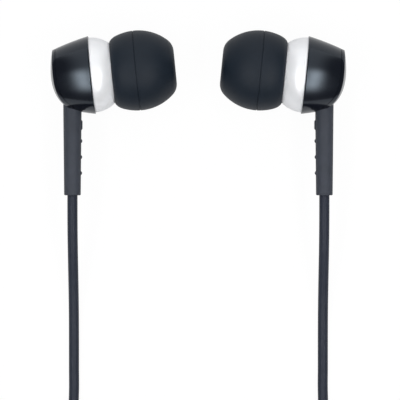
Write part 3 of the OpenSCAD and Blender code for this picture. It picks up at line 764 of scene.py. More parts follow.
@dataclass(frozen=True)
class Extruded(Finish):
    """A cord's jacket: fine lines along its length and faint rings across, on the cord's own UV."""

    roughness: float = 0.42
    spread: float = 0.07
    dust: Colour = (0.2, 0.2, 0.21, 1.0)
    dusting: float = 0.35
    line_scale: Place = (26.0, 0.14, 1.0)
    ring_scale: Place = (0.6, 0.9, 1.0)
    ring_span: Point = (-0.5, 1.5)
    grain: float = 0.12
    depth: float = 0.0015
    specular: float = 0.22

    def dress(self, paint: Paint) -> None:
        """Sets the shader: drawn lines, rings of another tone, grain and dust.

        Args:
            paint: The material.
        """
        lines = paint.stretched(paint.uv, self.line_scale)
        rings = paint.stretched(paint.uv, self.ring_scale, 3.0)
        grain = paint.effect(paint.effects.grain, Size_mm=self.grain)
        marks = paint.effect(paint.effects.marks, Spacing_mm=2.4)
        colour = self.tones(paint, paint.spread(rings, *self.ring_span))
        paint.surface(
            Base_Color=self.dusted(paint, colour, marks["Specks"]),
            Roughness=self.rough(paint, lines),
            Specular_IOR_Level=self.specular,
            Normal=paint.bump(grain["Height"], self.depth, paint.bump(lines, self.depth)),
        )


@dataclass(frozen=True)
class Woven(Finish):
    """A woven strap, on its own UV in millimetres: threads over and under, with a fuzzy sheen."""

    roughness: float = 0.875
    spread: float = 0.075
    thread: float = 0.28
    thread_share: float = 0.8
    fibre_scale: float = 9.0
    fibre_share: float = 0.3
    depth: float = 0.05
    grain: float = 0.08
    sheen: Point = (0.3, 0.5)

    def dress(self, paint: Paint) -> None:
        """Sets the shader: the weave's height and its colour, and the sheen's weight and roughness; the colour
        follows the height, so the gaps between threads are darker as painted shade, and the fibres add random
        tone.

        Args:
            paint: The material.
        """
        parts = paint.add("ShaderNodeSeparateXYZ", {"Vector": paint.uv}).outputs
        turn = math.pi / self.thread
        warp, weft = (paint.math("SINE", paint.times(parts[axis], turn)) for axis in ("X", "Y"))
        threads = paint.times(paint.math("ABSOLUTE", paint.times(warp, weft)), self.thread_share)
        fibres = paint.times(paint.noise(paint.uv, self.fibre_scale, 4.0), self.fibre_share)
        height = paint.math("ADD", threads, fibres)
        grain = paint.effect(paint.effects.grain, Size_mm=self.grain)
        paint.surface(
            # Base colour follows the weave's height: the gaps between threads take the darker tone as painted
            # shade; the fibres' noise adds random tone.
            Base_Color=self.tones(paint, height),
            Roughness=self.rough(paint, grain["Mottle"]),
            Sheen_Weight=self.sheen[0],
            Sheen_Roughness=self.sheen[1],
            Normal=paint.bump(height, self.depth),
        )


@dataclass(frozen=True)
class Machined(Finish):
    """A bare or plated metal with fine tool lines across its axis."""

    spread: float = 0.07
    line_scale: Place = (9000.0, 300.0, 300.0)
    depth: float = 0.002
    stain_spacing: float = 1.2
    tarnish: float = 0.8

    def dress(self, paint: Paint) -> None:
        """Sets the shader: tool lines and a little tarnish.

        Args:
            paint: The material.
        """
        lines = paint.stretched(paint.place, self.line_scale)
        marks = paint.effect(paint.effects.marks, Spacing_mm=self.stain_spacing)
        paint.surface(
            Base_Color=self.tones(paint, paint.spread(marks["Smears"], 0.0, self.tarnish)),
            Metallic=1.0,
            Roughness=self.rough(paint, lines),
            Normal=paint.bump(lines, self.depth),
        )


@dataclass(frozen=True)
class Ruled(Finish):
    """A finish of fine ribs or cells that only shows when the bud is open: windings, foam, film, board."""

    spread: float = 0.05
    cell: float = 0.5
    cell_contrast: float = 1.3
    depth: float = 0.01
    metallic: float = 0.0

    def dress(self, paint: Paint) -> None:
        """Sets the shader: cells of two tones with their relief.

        Args:
            paint: The material.
        """
        scale = 1 / (self.cell * MM)
        cells = paint.add("ShaderNodeTexVoronoi", {"Vector": paint.place, "Scale": scale}).outputs["Distance"]
        grain = paint.effect(paint.effects.grain, Size_mm=self.cell)
        paint.surface(
            Base_Color=self.tones(paint, paint.spread(cells, 0.0, self.cell_contrast)),
            Roughness=self.rough(paint, grain["Mottle"]),
            Metallic=self.metallic,
            Normal=paint.bump(cells, self.depth),
        )


FINISHES: dict[str, Finish] = {
    "silicone": Moulded(
        "silicone", srgb(19, 29, 40), srgb(22, 32, 43), 0.5, 0.03,
        dusting=0.2, grain=0.14, grain_depth=0.003, specular=0.25,
    ),
    "silver": Moulded(
        "silver_paint", srgb(251, 252, 254), srgb(247, 249, 252), 0.3, 0.02,
        grain=0.07, grain_depth=0.0003, metallic=0.22,
    ),
    "gloss_black": Moulded(
        "gloss_black_shell", srgb(7, 9, 18), srgb(10, 12, 22), 0.13, 0.01,
        dusting=0.3, grain=0.3, grain_depth=0.0006, smear=0.03, specular=0.56, tint=(0.74, 0.87, 1.0, 1.0),
    ),
    "soft_black": Moulded(
        "soft_touch_sleeve", srgb(63, 67, 75), srgb(68, 72, 81), 0.45, 0.03, dusting=0.2, specular=0.15,
    ),
    "black_plastic": Moulded(
        "moulded_black", srgb(26, 26, 29), srgb(31, 31, 34), 0.36,
        dusting=0.3, grain_depth=0.005, smear=0.03, worn=srgb(58, 58, 62),
    ),
    "cord": Extruded("cord_jacket", srgb(41, 46, 58), srgb(47, 52, 64)),
    "cord_core": Moulded("jacket_inside_fittings", srgb(36, 38, 43), srgb(42, 44, 50), 0.45, grain_depth=0.003),
    # The strap's darker tone is painted shade in the gaps between threads; the lighter one is on the threads'
    # crowns.
    "tie": Woven("woven_strap", srgb(14, 14, 16), srgb(46, 46, 50)),
    "steel": Machined("bright_steel", srgb(196, 198, 202), srgb(160, 162, 168), 0.29),
    "iron": Machined("zinc_plated_iron", srgb(150, 152, 158), srgb(118, 120, 126), 0.39),
    "magnet": Machined("nickel_plated_magnet", srgb(178, 178, 182), srgb(150, 150, 156), 0.23),
    "gilt": Machined("gold_plating", srgb(226, 188, 104), srgb(206, 166, 84), 0.17),
    "copper": Ruled(
        "copper_winding", srgb(190, 108, 62), srgb(150, 76, 40), 0.3, cell=0.05, depth=0.02, metallic=1.0,
    ),
    "foam": Ruled("open_cell_foam", srgb(220, 214, 198), srgb(176, 168, 150), 0.9, cell=0.25, depth=0.12),
    "film": Ruled("clear_film", srgb(214, 200, 150), srgb(230, 220, 180), 0.25, cell=0.8),
    "board": Ruled("solder_masked_board", srgb(28, 92, 54), srgb(20, 70, 42), 0.4, cell=0.9),
}


class Palette:
    """Makes each finish once, when it is first asked for."""

    def __init__(self) -> None:
        """Builds the shared shader groups."""
        self.effects = Effects()
        self.made: dict[str, bpy.types.Material] = {}

    def __getitem__(self, name: str) -> bpy.types.Material:
        """The material of that finish.

        Args:
            name: The key of the finish.

        Returns:
            The material.
        """
        if name not in self.made:
            self.made[name] = FINISHES[name].make(self.effects)
        return self.made[name]


# ---- The workshop ----


@dataclass
class Workshop:
    """What every sub-assembly needs: the frame, the finishes and the trees that turn, join and cut."""

    frame: dict
    palette: Palette = field(default_factory=Palette)
    turned: Tree = field(default_factory=turning_tree)
    joined: Tree = field(default_factory=lambda: placing_tree("placed_and_joined", "UNION"))
    bored: Tree = field(default_factory=lambda: placing_tree("placed_and_cut", "DIFFERENCE"))

    def turn(self, name: str, outline: Sequence[Point], finish: str, segments: int) -> bpy.types.Mesh:
        """Turns an outline about its axis.

        Args:
            name: The mesh's name.
            outline: Points of (place on the axis, radius); it is closed unless it starts and ends on the axis.
            finish: The form's finish.
            segments: How many flats the turned form has.

        Returns:
            The mesh in millimetres, along X.
        """
        ring = 0.5 * max(radius for _, radius in outline)
        points = [(radius - ring, u, 0.0) for u, radius in outline]
        edges = [(i, i + 1) for i in range(len(points) - 1)]
        if outline[0][1] > 0:
            edges.append((len(points) - 1, 0))
        flat = bpy.data.meshes.new(name)
        flat.from_pydata(points, edges, [])
        values = {"Segments": segments, "Ring_Radius": ring, "Material": self.palette[finish]}
        mesh = self.turned.grow(name, flat, **values)
        mesh.transform(Matrix(((0, 0, -1, 0), (1, 0, 0, 0), (0, -1, 0, 0), (0, 0, 0, 1))))
        return outward(mesh)

    def drill(
        self, radius: float, first: float, last: float, along_y: bool = True, segments: int = 48
    ) -> bpy.types.Mesh:
        """A round cutter in metres.

        Args:
            radius: Its radius in millimetres.
            first, last: Where it starts and ends on its axis, in millimetres.
            along_y: Whether its axis is Y or X.
            segments: How many flats it has.

        Returns:
            The mesh.
        """
        mesh = self.turn("drill", rod(radius, first, last), "black_plastic", segments)
        mesh.transform(Matrix.Rotation(math.pi / 2 if along_y else 0.0, 4, "Z") @ TO_METRES)
        return mesh

    def place(
        self, tree: Tree, solid: bpy.types.Mesh, tool: bpy.types.Mesh, places: Sequence[Sequence[float]],
        finish: str,
    ) -> bpy.types.Mesh:
        """Joins a tool to a solid, or cuts it out, at each of some places.

        Args:
            tree: One of the placing trees.
            solid: The mesh that gains or loses the tools.
            tool: The tool's mesh.
            places: Where the tools go.
            finish: The solid's finish.

        Returns:
            The new mesh.
        """
        dots = bpy.data.meshes.new("places")
        dots.from_pydata([Vector(p) for p in places], [], [])
        helpers = [add_object("places", dots), add_object("tool", tool)]
        material = self.palette[finish]
        mesh = tree.grow(solid.name, solid, Places=helpers[0], Tool=helpers[1], Material=material)
        for helper in helpers:
            bpy.data.objects.remove(helper)
        return outward(mesh)

    def join(self, solid: bpy.types.Mesh, tool: bpy.types.Mesh, places: Sequence, finish: str) -> bpy.types.Mesh:
        """Joins a tool to a solid at each of some places."""
        return self.place(self.joined, solid, tool, places, finish)

    def cut(self, solid: bpy.types.Mesh, tool: bpy.types.Mesh, places: Sequence, finish: str) -> bpy.types.Mesh:
        """Cuts a tool out of a solid at each of some places."""
        return self.place(self.bored, solid, tool, places, finish)

    def piece(
        self, name: str, mesh: bpy.types.Mesh, finish: str, nodes: Sequence[str], body: str = ROOT_BODY
    ) -> bpy.types.Object:
        """Puts a finished mesh into the scene.

        Args:
            name: The piece's name.
            mesh: Its mesh, in place and in metres.
            finish: Its finish, which fills its material slot.
            nodes: The CAD nodes that it stands for.
            body: The body that it rides on.

        Returns:
            The piece.
        """
        mesh.materials.clear()
        mesh.materials.append(self.palette[finish])
        made = add_object(name, mesh)
        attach(made, body)
        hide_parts(*nodes)
        LOG.info("%s: %d faces, stands for %s", name, len(mesh.polygons), ", ".join(nodes))
        return made

    def dress(self, node: str, finish: str) -> None:
        """Gives a CAD node its finish and leaves its mesh alone.

        Args:
            node: The node's name.
            finish: Its finish.
        """
        materials = self.frame["nodes"][node].data.materials
        materials.clear()
        materials.append(self.palette[finish])
        LOG.info("%s: as in the frame, in %s", node, finish)


def settle(mesh: bpy.types.Mesh, place: Matrix, side: Side = Side.LEFT) -> bpy.types.Mesh:
    """Moves a mesh from its own millimetres into the frame's metres.

    Args:
        mesh: The mesh.
        place: Where its own axes go, in millimetres.
        side: The side that it is for; a right-hand one is mirrored.

    Returns:
        The same mesh.
    """
    flip = Matrix.Diagonal((side.value * MM, MM, MM, 1.0))
    mesh.transform(flip @ place)
    return outward(mesh)


# ---- Buds ----


@dataclass(frozen=True)
class BudAxis:
    """Where a bud lies."""

    rim: Place = (-16.6, 5.8994, 6.25)
    tilt: float = 5.7

    def matrix(self) -> Matrix:
        """Takes (u, v, w) to the frame, in millimetres, for the left side."""
        return Matrix.Translation(self.rim) @ Matrix.Rotation(math.radians(self.tilt), 4, "Z")


@dataclass(frozen=True)
class EarTip:
    """The moulded silicone tip: a domed skirt outside, a core tube that grips the nozzle inside."""

    widest: Point = (7.2, 6.25)
    back_radius: float = 8.15
    front_u: float = 13.05
    nose_radius: float = 2.4
    mouth_radius: float = 2.5
    mouth_round: float = 0.3
    rear_u: float = 3.2
    turned_in: float = 1.4
    turn_handles: Place = (0.3, 0.52, 0.6)
    back_join_u: float = 4.6
    channel_radius: float = 1.9
    core_bore: float = 2.55
    core_radius: float = 3.45
    core_u: float = 5.35
    edge: float = 0.1
    hollow_u: float = 10.2
    hollow_round: float = 0.3
    hollow_centre_u: float = 6.7
    hollow_curve: float = 7.6
    wall: float = 0.65
    stop_u: float = 8.45
    seam_u: float = 6.97
    seam_width: float = 0.15
    seam_depth: float = 0.09

    def outline(self) -> list[Point]:
        """The tip's section, from its open edge over the skirt and the nose and back through the bore.

        Returns:
            The outline.
        """
        nose = (self.front_u - self.nose_radius, self.mouth_radius)
        ahead, below = nose[0] - self.widest[0], self.widest[1] - nose[1]
        front_radius = (ahead**2 + below**2 - self.nose_radius**2) / (2 * (below - self.nose_radius))
        front = (self.widest[0], self.widest[1] - front_radius)
        nose_angle = math.degrees(math.atan2(nose[1] - front[1], ahead))
        return [
            *self.back_bulge(),
            *arc(front, front_radius, 90, nose_angle, steps=26)[:-1],
            *arc(nose, self.nose_radius, nose_angle, 0, steps=16),
            *self.bore(),
            *self.inner_skirt(),
        ]

    def back_bulge(self) -> list[Point]:
        """The skirt's outer face from its turned-in edge to its widest ring, with the mould's seam.

        Returns:
            The points.
        """
        centre, radius = (self.widest[0], self.widest[1] - self.back_radius), self.back_radius

        def angle(u: float) -> float:
            """The angle on the bulge at a place along the axis."""
            return math.degrees(math.acos((u - centre[0]) / radius))

        join = angle(self.back_join_u)
        lean = math.radians(join)
        start, end = (self.rear_u, self.widest[1] - self.turned_in), around(centre, radius, join)
        ahead, out, back = self.turn_handles
        leaving = (start[0] + ahead, start[1] + out)
        meeting = (end[0] - back * math.sin(lean), end[1] + back * math.cos(lean))
        seam = [self.seam_u + k * self.seam_width for k in (-0.5, -0.2, 0.2, 0.5)]
        floor = around(centre, radius, angle(seam[0]))[1] - self.seam_depth
        return [
            *bezier((start, leaving, meeting, end), steps=10)[:-1],
            *arc(centre, radius, join, angle(seam[0]), steps=14),
            (seam[1], floor),
            (seam[2], floor),
            *arc(centre, radius, angle(seam[3]), 90, steps=2)[:-1],
        ]

    def bore(self) -> list[Point]:
        """The sound channel, the stop for the nozzle's lip, and the core tube inside and outside.

        Returns:
            The points.
        """
        r, e, h = self.mouth_round, self.edge, self.hollow_round
        return [
            *arc((self.front_u - r, self.channel_radius + r), r, 0, -90, steps=6),
            (self.stop_u, self.channel_radius), (self.stop_u, self.core_bore),
            (self.core_u + e, self.core_bore), (self.core_u, self.core_bore + e),
            (self.core_u, self.core_radius - e), (self.core_u + e, self.core_radius),
            (self.hollow_u - h, self.core_radius), (self.hollow_u, self.core_radius + h),
        ]

    def inner_skirt(self) -> list[Point]:
        """The skirt's inner face, from the depth of the hollow back to the open edge.

        Returns:
            The points.
        """
        centre = (self.hollow_centre_u, self.widest[1] - self.wall - self.hollow_curve)
        first, last = (
            math.degrees(math.acos((u - centre[0]) / self.hollow_curve))
            for u in (self.hollow_u, self.rear_u + self.edge)
        )
        return arc(centre, self.hollow_curve, first, last, steps=20)

    def build(self, shop: Workshop, axis: BudAxis, side: Side) -> None:
        """Builds the tip.

        Args:
            shop: The workshop.
            axis: Where the bud lies.
            side: Which bud it is for.
        """
        name = side.node("silicone_tip")
        mesh = settle(shop.turn(name, self.outline(), "silicone", segments=160), axis.matrix(), side)
        shop.piece(name, mesh, "silicone", [side.node("ear_tip")], side.node("tip"))


@dataclass(frozen=True)
class FrontShell:
    """The silver dome-shaped shell with its nozzle, and the screen in the nozzle's mouth."""

    dome_radius: float = 5.85
    dome_length: float = 5.3
    ball_wall: float = 1.25
    rim_edge: float = 0.05
    spigot: Point = (-1.25, 5.09)
    pocket: Point = (1.0, 4.53)
    nozzle_radius: float = 2.3
    nozzle_u: float = 8.4
    root_degrees: float = 3.0
    root_length: float = 0.25
    lip_radius: float = 2.45
    lip_length: float = 0.7
    lip_edge: float = 0.15
    bore_radius: float = 1.8
    seat_radius: float = 2.05
    screen_thickness: float = 0.2
    screen_play: float = 0.03
    hole_radius: float = 0.18
    hole_pitch: float = 0.6
    punch_reach: float = 1.0

    def outline(self) -> list[Point]:
        """The shell's section, from the spigot over the ball and the nozzle and back through the bore.

        Returns:
            The outline.
        """
        root = math.degrees(math.asin(self.nozzle_radius / self.dome_radius))
        inner = self.dome_radius - self.ball_wall
        mouth = math.degrees(math.asin(self.bore_radius / inner))
        back = 90 - math.degrees(math.asin(self.pocket[0] / inner))
        flat = self.dome_length / self.dome_radius
        lip_u, seat_u, e = self.nozzle_u - self.lip_length, self.nozzle_u - self.screen_thickness, self.lip_edge
        dome = arc((0.0, 0.0), self.dome_radius, 90, root + self.root_degrees, steps=48)
        root_u = flat * around((0.0, 0.0), self.dome_radius, root)[0] + self.root_length
        return [
            self.spigot,
            (0.0, self.spigot[1]),
            (0.0, self.dome_radius - self.rim_edge),
            *((flat * u, r) for u, r in dome[1:]),
            (root_u, self.nozzle_radius),
            (lip_u - e, self.nozzle_radius),
            (lip_u, self.lip_radius),
            *arc((self.nozzle_u - e, self.lip_radius - e), e, 90, 0, steps=4),
            (self.nozzle_u, self.seat_radius),
            (seat_u, self.seat_radius),
            (seat_u, self.bore_radius),
            *((flat * u, r) for u, r in arc((0.0, 0.0), inner, mouth, back, steps=16)),
            self.pocket,
            (self.spigot[0], self.pocket[1]),
        ]

    def screen(self, shop: Workshop) -> bpy.types.Mesh:
        """The perforated screen, holes and all.

        Args:
            shop: The workshop.

        Returns:
            The mesh, in millimetres on the bud's axis.
        """
        edge, front = self.seat_radius - self.screen_play, self.nozzle_u
        disc = shop.turn("nozzle_screen", rod(edge, front - self.screen_thickness, front), "steel", segments=64)
        punch = rod(self.hole_radius, -self.punch_reach, self.punch_reach)
        reach = self.bore_radius - self.hole_radius
        rows = int(reach / self.hole_pitch)
        span = [k * self.hole_pitch for k in range(-rows, rows + 1)]
        places = [(front, y, z) for y in span for z in span if math.hypot(y, z) < reach]
        return shop.cut(disc, shop.turn("punch", punch, "steel", segments=16), places, "steel")

    def build(self, shop: Workshop, axis: BudAxis, side: Side) -> None:
        """Builds the shell and its screen.

        Args:
            shop: The workshop.
            axis: Where the bud lies.
            side: Which bud they are for.
        """
        name = side.node("silver_front")
        mesh = settle(shop.turn(name, self.outline(), "silver", segments=160), axis.matrix(), side)
        shop.piece(name, mesh, "silver", [side.node("front_shell")])
        screen = settle(self.screen(shop), axis.matrix(), side)
        shop.piece(side.node("nozzle_screen"), screen, "steel", [side.node("nozzle_mesh")])


@dataclass(frozen=True)
class RearHousing:
    """The gloss black rear shell and the curved cap that closes it.

    The shell is a turned form, cut off by a wall that stands on a line drawn over the table and bends back above
    and below it. One such line carries the cap's face, another the seat behind it.
    """

    rim_radius: float = 6.1
    narrow_mid: float = 0.94
    narrow_back: float = 2.26
    reach: float = 7.4
    wall: float = 0.7
    spigot_radius: float = 5.124
    rim_round: float = 0.09
    rim_degrees: float = 72.0
    rim_bevel: float = 0.04
    cap_thickness: float = 0.45
    cap_handles: tuple[Point, ...] = ((-5.77, 4.45), (-7.0, -0.4), (-6.6, -4.1), (-2.4, -5.75))
    cap_above: Point = (-5.28, 6.4)
    cap_foot: Point = (-3.48, -5.3)
    below_foot: Point = (-2.87, -6.4)
    foot_clear: Point = (0.12, 0.3)
    foot_edge: float = 0.16
    dome: float = 0.0246
    groove: float = 0.05
    segments: int = 160
    halvings: int = 40
    hole_x: float = -19.65
    hole_radius: float = 1.48
    hole_drops: Point = (3.9, 18.77)

    def radius(self, u: float) -> float:
        """Radius of the turned form at a place behind the rim, narrowed by so much midway and at the back.

        Args:
            u: The place, negative behind the rim.

        Returns:
            The radius.
        """
        back = -u / self.reach
        slope = 4 * self.narrow_mid - self.narrow_back
        return self.rim_radius - slope * back - 2 * (self.narrow_back - 2 * self.narrow_mid) * back * back

    def inner_radius(self, u: float) -> float:
        """Radius of the shell's cavity there."""
        return min(self.radius(u) - self.wall, self.spigot_radius)

    def lines(self) -> tuple[list[Point], list[Point]]:
        """The lines of the cap's outer face and of the seat behind it, seen along w, each from top to foot.

        Returns:
            The face's line and the seat's.
        """
        line = bezier(self.cap_handles, steps=48)
        usable = [p for p in line if p[1] > self.cap_foot[1] + self.foot_clear[0]]
        face = [self.cap_above, *usable, self.cap_foot, self.below_foot]
        seat = [(self.cap_above[0] + self.cap_thickness, self.cap_above[1])]
        for i, p in enumerate(usable):
            before, after = line[max(i - 1, 0)], line[i + 1]
            along = Vector((after[0] - before[0], after[1] - before[1])).normalized()
            moved = (p[0] - along.y * self.cap_thickness, p[1] + along.x * self.cap_thickness)
            if moved[1] > self.cap_foot[1] + self.foot_clear[1]:
                seat.append(moved)
        return face, [*seat, *((u + self.foot_edge, v) for u, v in (self.cap_foot, self.below_foot))]

    def stand(self, line: Sequence[Point], v: float, w: float) -> float:
        """Where a line's wall stands along u.

        Args:
            line: The line.
            v, w: The place on the wall.

        Returns:
            The place along u.
        """
        bend = self.dome * w * w
        for high, low in zip(line, line[1:]):
            if low[1] <= v <= high[1]:
                share = (high[1] - v) / (high[1] - low[1]) if high[1] > low[1] else 0.0
                return high[0] + (low[0] - high[0]) * share + bend
        return (line[0][0] if v > line[0][1] else line[-1][0]) + bend

    def cut(self, line: Sequence[Point], angle: float, radius: Callable[[float], float]) -> float:
        """Where a turned form meets a line's wall, on one meridian.

        Args:
            line: The line.
            angle: The meridian, from v towards w.
            radius: The form's radius along u.

        Returns:
            The place along u.
        """
        low, high = -self.reach, 0.0
        for _ in range(self.halvings):
            middle = (low + high) / 2
            r = radius(middle)
            if middle > self.stand(line, r * math.cos(angle), r * math.sin(angle)):
                high = middle
            else:
                low = middle
        return high

    def angles(self) -> list[float]:
        """The meridians' angles."""
        return [math.tau * k / self.segments for k in range(self.segments)]

    def shell(self, name: str) -> bpy.types.Mesh:
        """The rear shell as one closed skin, from the cap's seat to the rim and back inside.

        Args:
            name: The mesh's name.

        Returns:
            The mesh, on the bud's axis.
        """
        seat, rim = self.lines()[1], -self.rim_round
        meridians = []
        for a in self.angles():
            outer, inner = (self.cut(seat, a, form) for form in (self.radius, self.inner_radius))
            line = [
                (outer, self.radius(outer) - self.groove),
                *((u, self.radius(u)) for u in evenly(outer + self.groove, rim, 26)),
                *arc((rim, self.rim_radius - self.rim_round), self.rim_round, self.rim_degrees, 0, steps=4),
                (0.0, self.spigot_radius + self.rim_bevel),
                (-self.rim_bevel, self.spigot_radius),
                *((u, self.inner_radius(u)) for u in evenly(0.0, inner, 8)[1:]),
            ]
            meridians.append([Vector((u, r * math.cos(a), r * math.sin(a))) for u, r in line])
        return ring_skin(name, list(zip(*meridians)), loop=True)

    def cap(self, name: str) -> bpy.types.Mesh:
        """The cap as one closed skin: its face, its edge and its back.

        Args:
            name: The mesh's name.

        Returns:
            The mesh, on the bud's axis.
        """

        def flat(line: Sequence[Point], angle: float, share: float) -> Vector:
            """A point on a line's wall, at a share of the way out to the turned form.

            Args:
                line, angle: The line and the meridian.
                share: How far out it is.

            Returns:
                The point.
            """
            r = (self.radius(self.cut(line, angle, self.radius)) - self.groove) * share
            v, w = r * math.cos(angle), r * math.sin(angle)
            return Vector((self.stand(line, v, w), v, w))

        def edge(line: Sequence[Point], angle: float, shift: float) -> Vector:
            """A point on the turned form, shifted along u from a line's wall.

            Args:
                line, angle: The line and the meridian.
                shift: How far it is shifted.

            Returns:
                The point.
            """
            u = self.cut(line, angle, self.radius) + shift
            r = self.radius(u)
            return Vector((u, r * math.cos(angle), r * math.sin(angle)))

        face, seat = self.lines()
        turn = self.angles()
        shares = [math.sin(t) for t in evenly(0.0, math.pi / 2, 40)[1:-1]] + [1.0]
        rings = [
            *([flat(face, a, share) for a in turn] for share in shares),
            [edge(face, a, self.groove) for a in turn],
            [edge(seat, a, -self.groove) for a in turn],
            *([flat(seat, a, share) for a in turn] for share in reversed(shares)),
        ]
        return ring_skin(name, rings, poles=[Vector((self.stand(line, 0, 0), 0, 0)) for line in (face, seat)])

    def build(self, shop: Workshop, axis: BudAxis, side: Side) -> None:
        """Builds the shell and the cap, each with the sleeve's hole where that passes it.

        Args:
            shop: The workshop.
            axis: Where the bud lies.
            side: Which bud they are for.
        """
        high, low = self.hole_drops
        reach = (low - high) / 2
        centre = side.mirror((self.hole_x, axis.rim[1] - (high + low) / 2, axis.rim[2])) * MM
        for name, node, form in (("rear_housing", "rear_shell", self.shell), ("back_cap", "rear_cap", self.cap)):
            mesh = settle(form(side.node(name)), axis.matrix(), side)
            mesh = shop.cut(mesh, shop.drill(self.hole_radius, -reach, reach), [centre], "gloss_black")
            shop.piece(side.node(name), mesh, "gloss_black", [side.node(node)])


@dataclass(frozen=True)
class Sleeve:
    """The soft sleeve that the cord leaves the bud through, with the bumps that tell the sides apart.

    Drops are counted along the sleeve, from the height of the rim's centre.
    """

    x: float = -19.65
    top: Point = (3.75, 1.45)
    end: Point = (18.77, 1.3)
    end_round: float = 0.18
    bore: float = 0.83
    bore_edge: float = 0.1
    flange: Point = (0.7, 1.65)
    dome_radius: float = 0.37
    dome_out: float = 0.17
    domes: tuple[float, ...] = (10.3, 12.8, 15.3)
    ridge: float = 7.8
    ridge_length: float = 1.7

    def radius(self, drop: float) -> float:
        """The sleeve's radius at a drop."""
        share = (drop - self.top[0]) / (self.end[0] - self.top[0])
        return self.top[1] + (self.end[1] - self.top[1]) * share

    def outline(self) -> list[Point]:
        """The sleeve's section, from its flange down to its rounded end and back up the bore.

        Returns:
            The outline.
        """
        top, (thick, wide) = self.top[0], self.flange
        (end, radius), r = self.end, self.end_round
        return [
            (top - thick, self.bore),
            (top - thick, wide),
            (top, wide),
            *((drop, self.radius(drop)) for drop in evenly(top, end - r, 24)[:-1]),
            *arc((end - r, radius - r), r, 90, 0, steps=5),
            (end, self.bore + self.bore_edge),
            (end - self.bore_edge, self.bore),
        ]

    def bump(self, shop: Workshop, length: float) -> bpy.types.Mesh:
        """A bump along the sleeve.

        Args:
            shop: The workshop.
            length: Its length over its round ends; the dome's own width makes it a ball.

        Returns:
            The mesh, round about its own axis.
        """
        r, half = self.dome_radius, length / 2 - self.dome_radius
        if half > 0:
            line = arc((-half, 0.0), r, 180, 90, steps=8) + arc((half, 0.0), r, 90, 0, steps=8)
        else:
            line = arc((0.0, 0.0), r, 180, 0, steps=16)
        outline = [(line[0][0], 0.0), *line[1:-1], (line[-1][0], 0.0)]
        return shop.turn("bump", outline, "soft_black", segments=24)

    def build(self, shop: Workshop, axis: BudAxis, side: Side) -> None:
        """Builds the sleeve.

        Args:
            shop: The workshop.
            axis: Where the bud lies.
            side: Which bud it is for.
        """
        name = side.node("cord_sleeve")
        mesh = shop.turn(name, self.outline(), "soft_black", segments=64)
        for length, drops in ((2 * self.dome_radius, self.domes), (self.ridge_length, (self.ridge,))):
            places = [(drop, self.radius(drop) + self.dome_out - self.dome_radius, 0.0) for drop in drops]
            mesh = shop.join(mesh, self.bump(shop, length), places, "soft_black")
        down = Matrix(((0, 1, 0, 0), (-1, 0, 0, 0), (0, 0, 1, 0), (0, 0, 0, 1)))
        settle(mesh, Matrix.Translation((self.x, axis.rim[1], axis.rim[2])) @ down, side)
        shop.piece(name, mesh, "soft_black", [side.node("strain_relief")])


# ---- Cords ----


def smooth_line(points: Sequence[Vector], step: float) -> list[Vector]:
    """Points along a smooth curve through the given ones.

    Args:
        points: The points that the curve passes through.
        step: How far apart the new points are, about.

    Returns:
        The new points, the given ones among them.
    """
    padded = [2 * points[0] - points[1], *points, 2 * points[-1] - points[-2]]
    line = [points[0].copy()]
    for a, b, c, d in zip(padded, padded[1:], padded[2:], padded[3:]):
        knots = [0.0]
        for p, q in ((a, b), (b, c), (c, d)):
            knots.append(knots[-1] + math.sqrt((q - p).length))
        t0, t1, t2, t3 = knots
        count = max(1, round((c - b).length / step))
        for t in evenly(t1, t2, count)[1:]:
            ab = a + (b - a) * ((t - t0) / (t1 - t0))
            bc = b + (c - b) * ((t - t1) / (t2 - t1))
            cd = c + (d - c) * ((t - t2) / (t3 - t2))
            abc = ab + (bc - ab) * ((t - t0) / (t2 - t0))
            bcd = bc + (cd - bc) * ((t - t1) / (t3 - t1))
            line.append(abc + (bcd - abc) * ((t - t1) / (t2 - t1)))
    return line


def tube(name: str, line: Sequence[Vector], radius: float, sides: int = 16) -> bpy.types.Mesh:
    """A closed round tube along a line, with a UV in millimetres round and along it.

    Args:
        name: The mesh's name.
        line: The points of its middle line.
        radius: Its radius.
        sides: How many sides it has.

    Returns:
        The mesh.
    """
    across = Vector((0.0, 0.0, 1.0))
    turns = [math.tau * k / sides for k in range(sides)]
    rings, run = [], [0.0]
    for i, p in enumerate(line):
        heading = (line[min(i + 1, len(line) - 1)] - line[max(i - 1, 0)]).normalized()
        across = (across - across.dot(heading) * heading).normalized()
        beside = heading.cross(across)
        rings.append([p + radius * (across * math.cos(t) + beside * math.sin(t)) for t in turns])
        if i:
            run.append(run[-1] + (p - line[i - 1]).length)
    flat = math.tau * radius / sides
    return ring_skin(name, rings, uv_name="along_cord", uv_at=lambda k, j: (k * flat / MM, run[j] / MM))


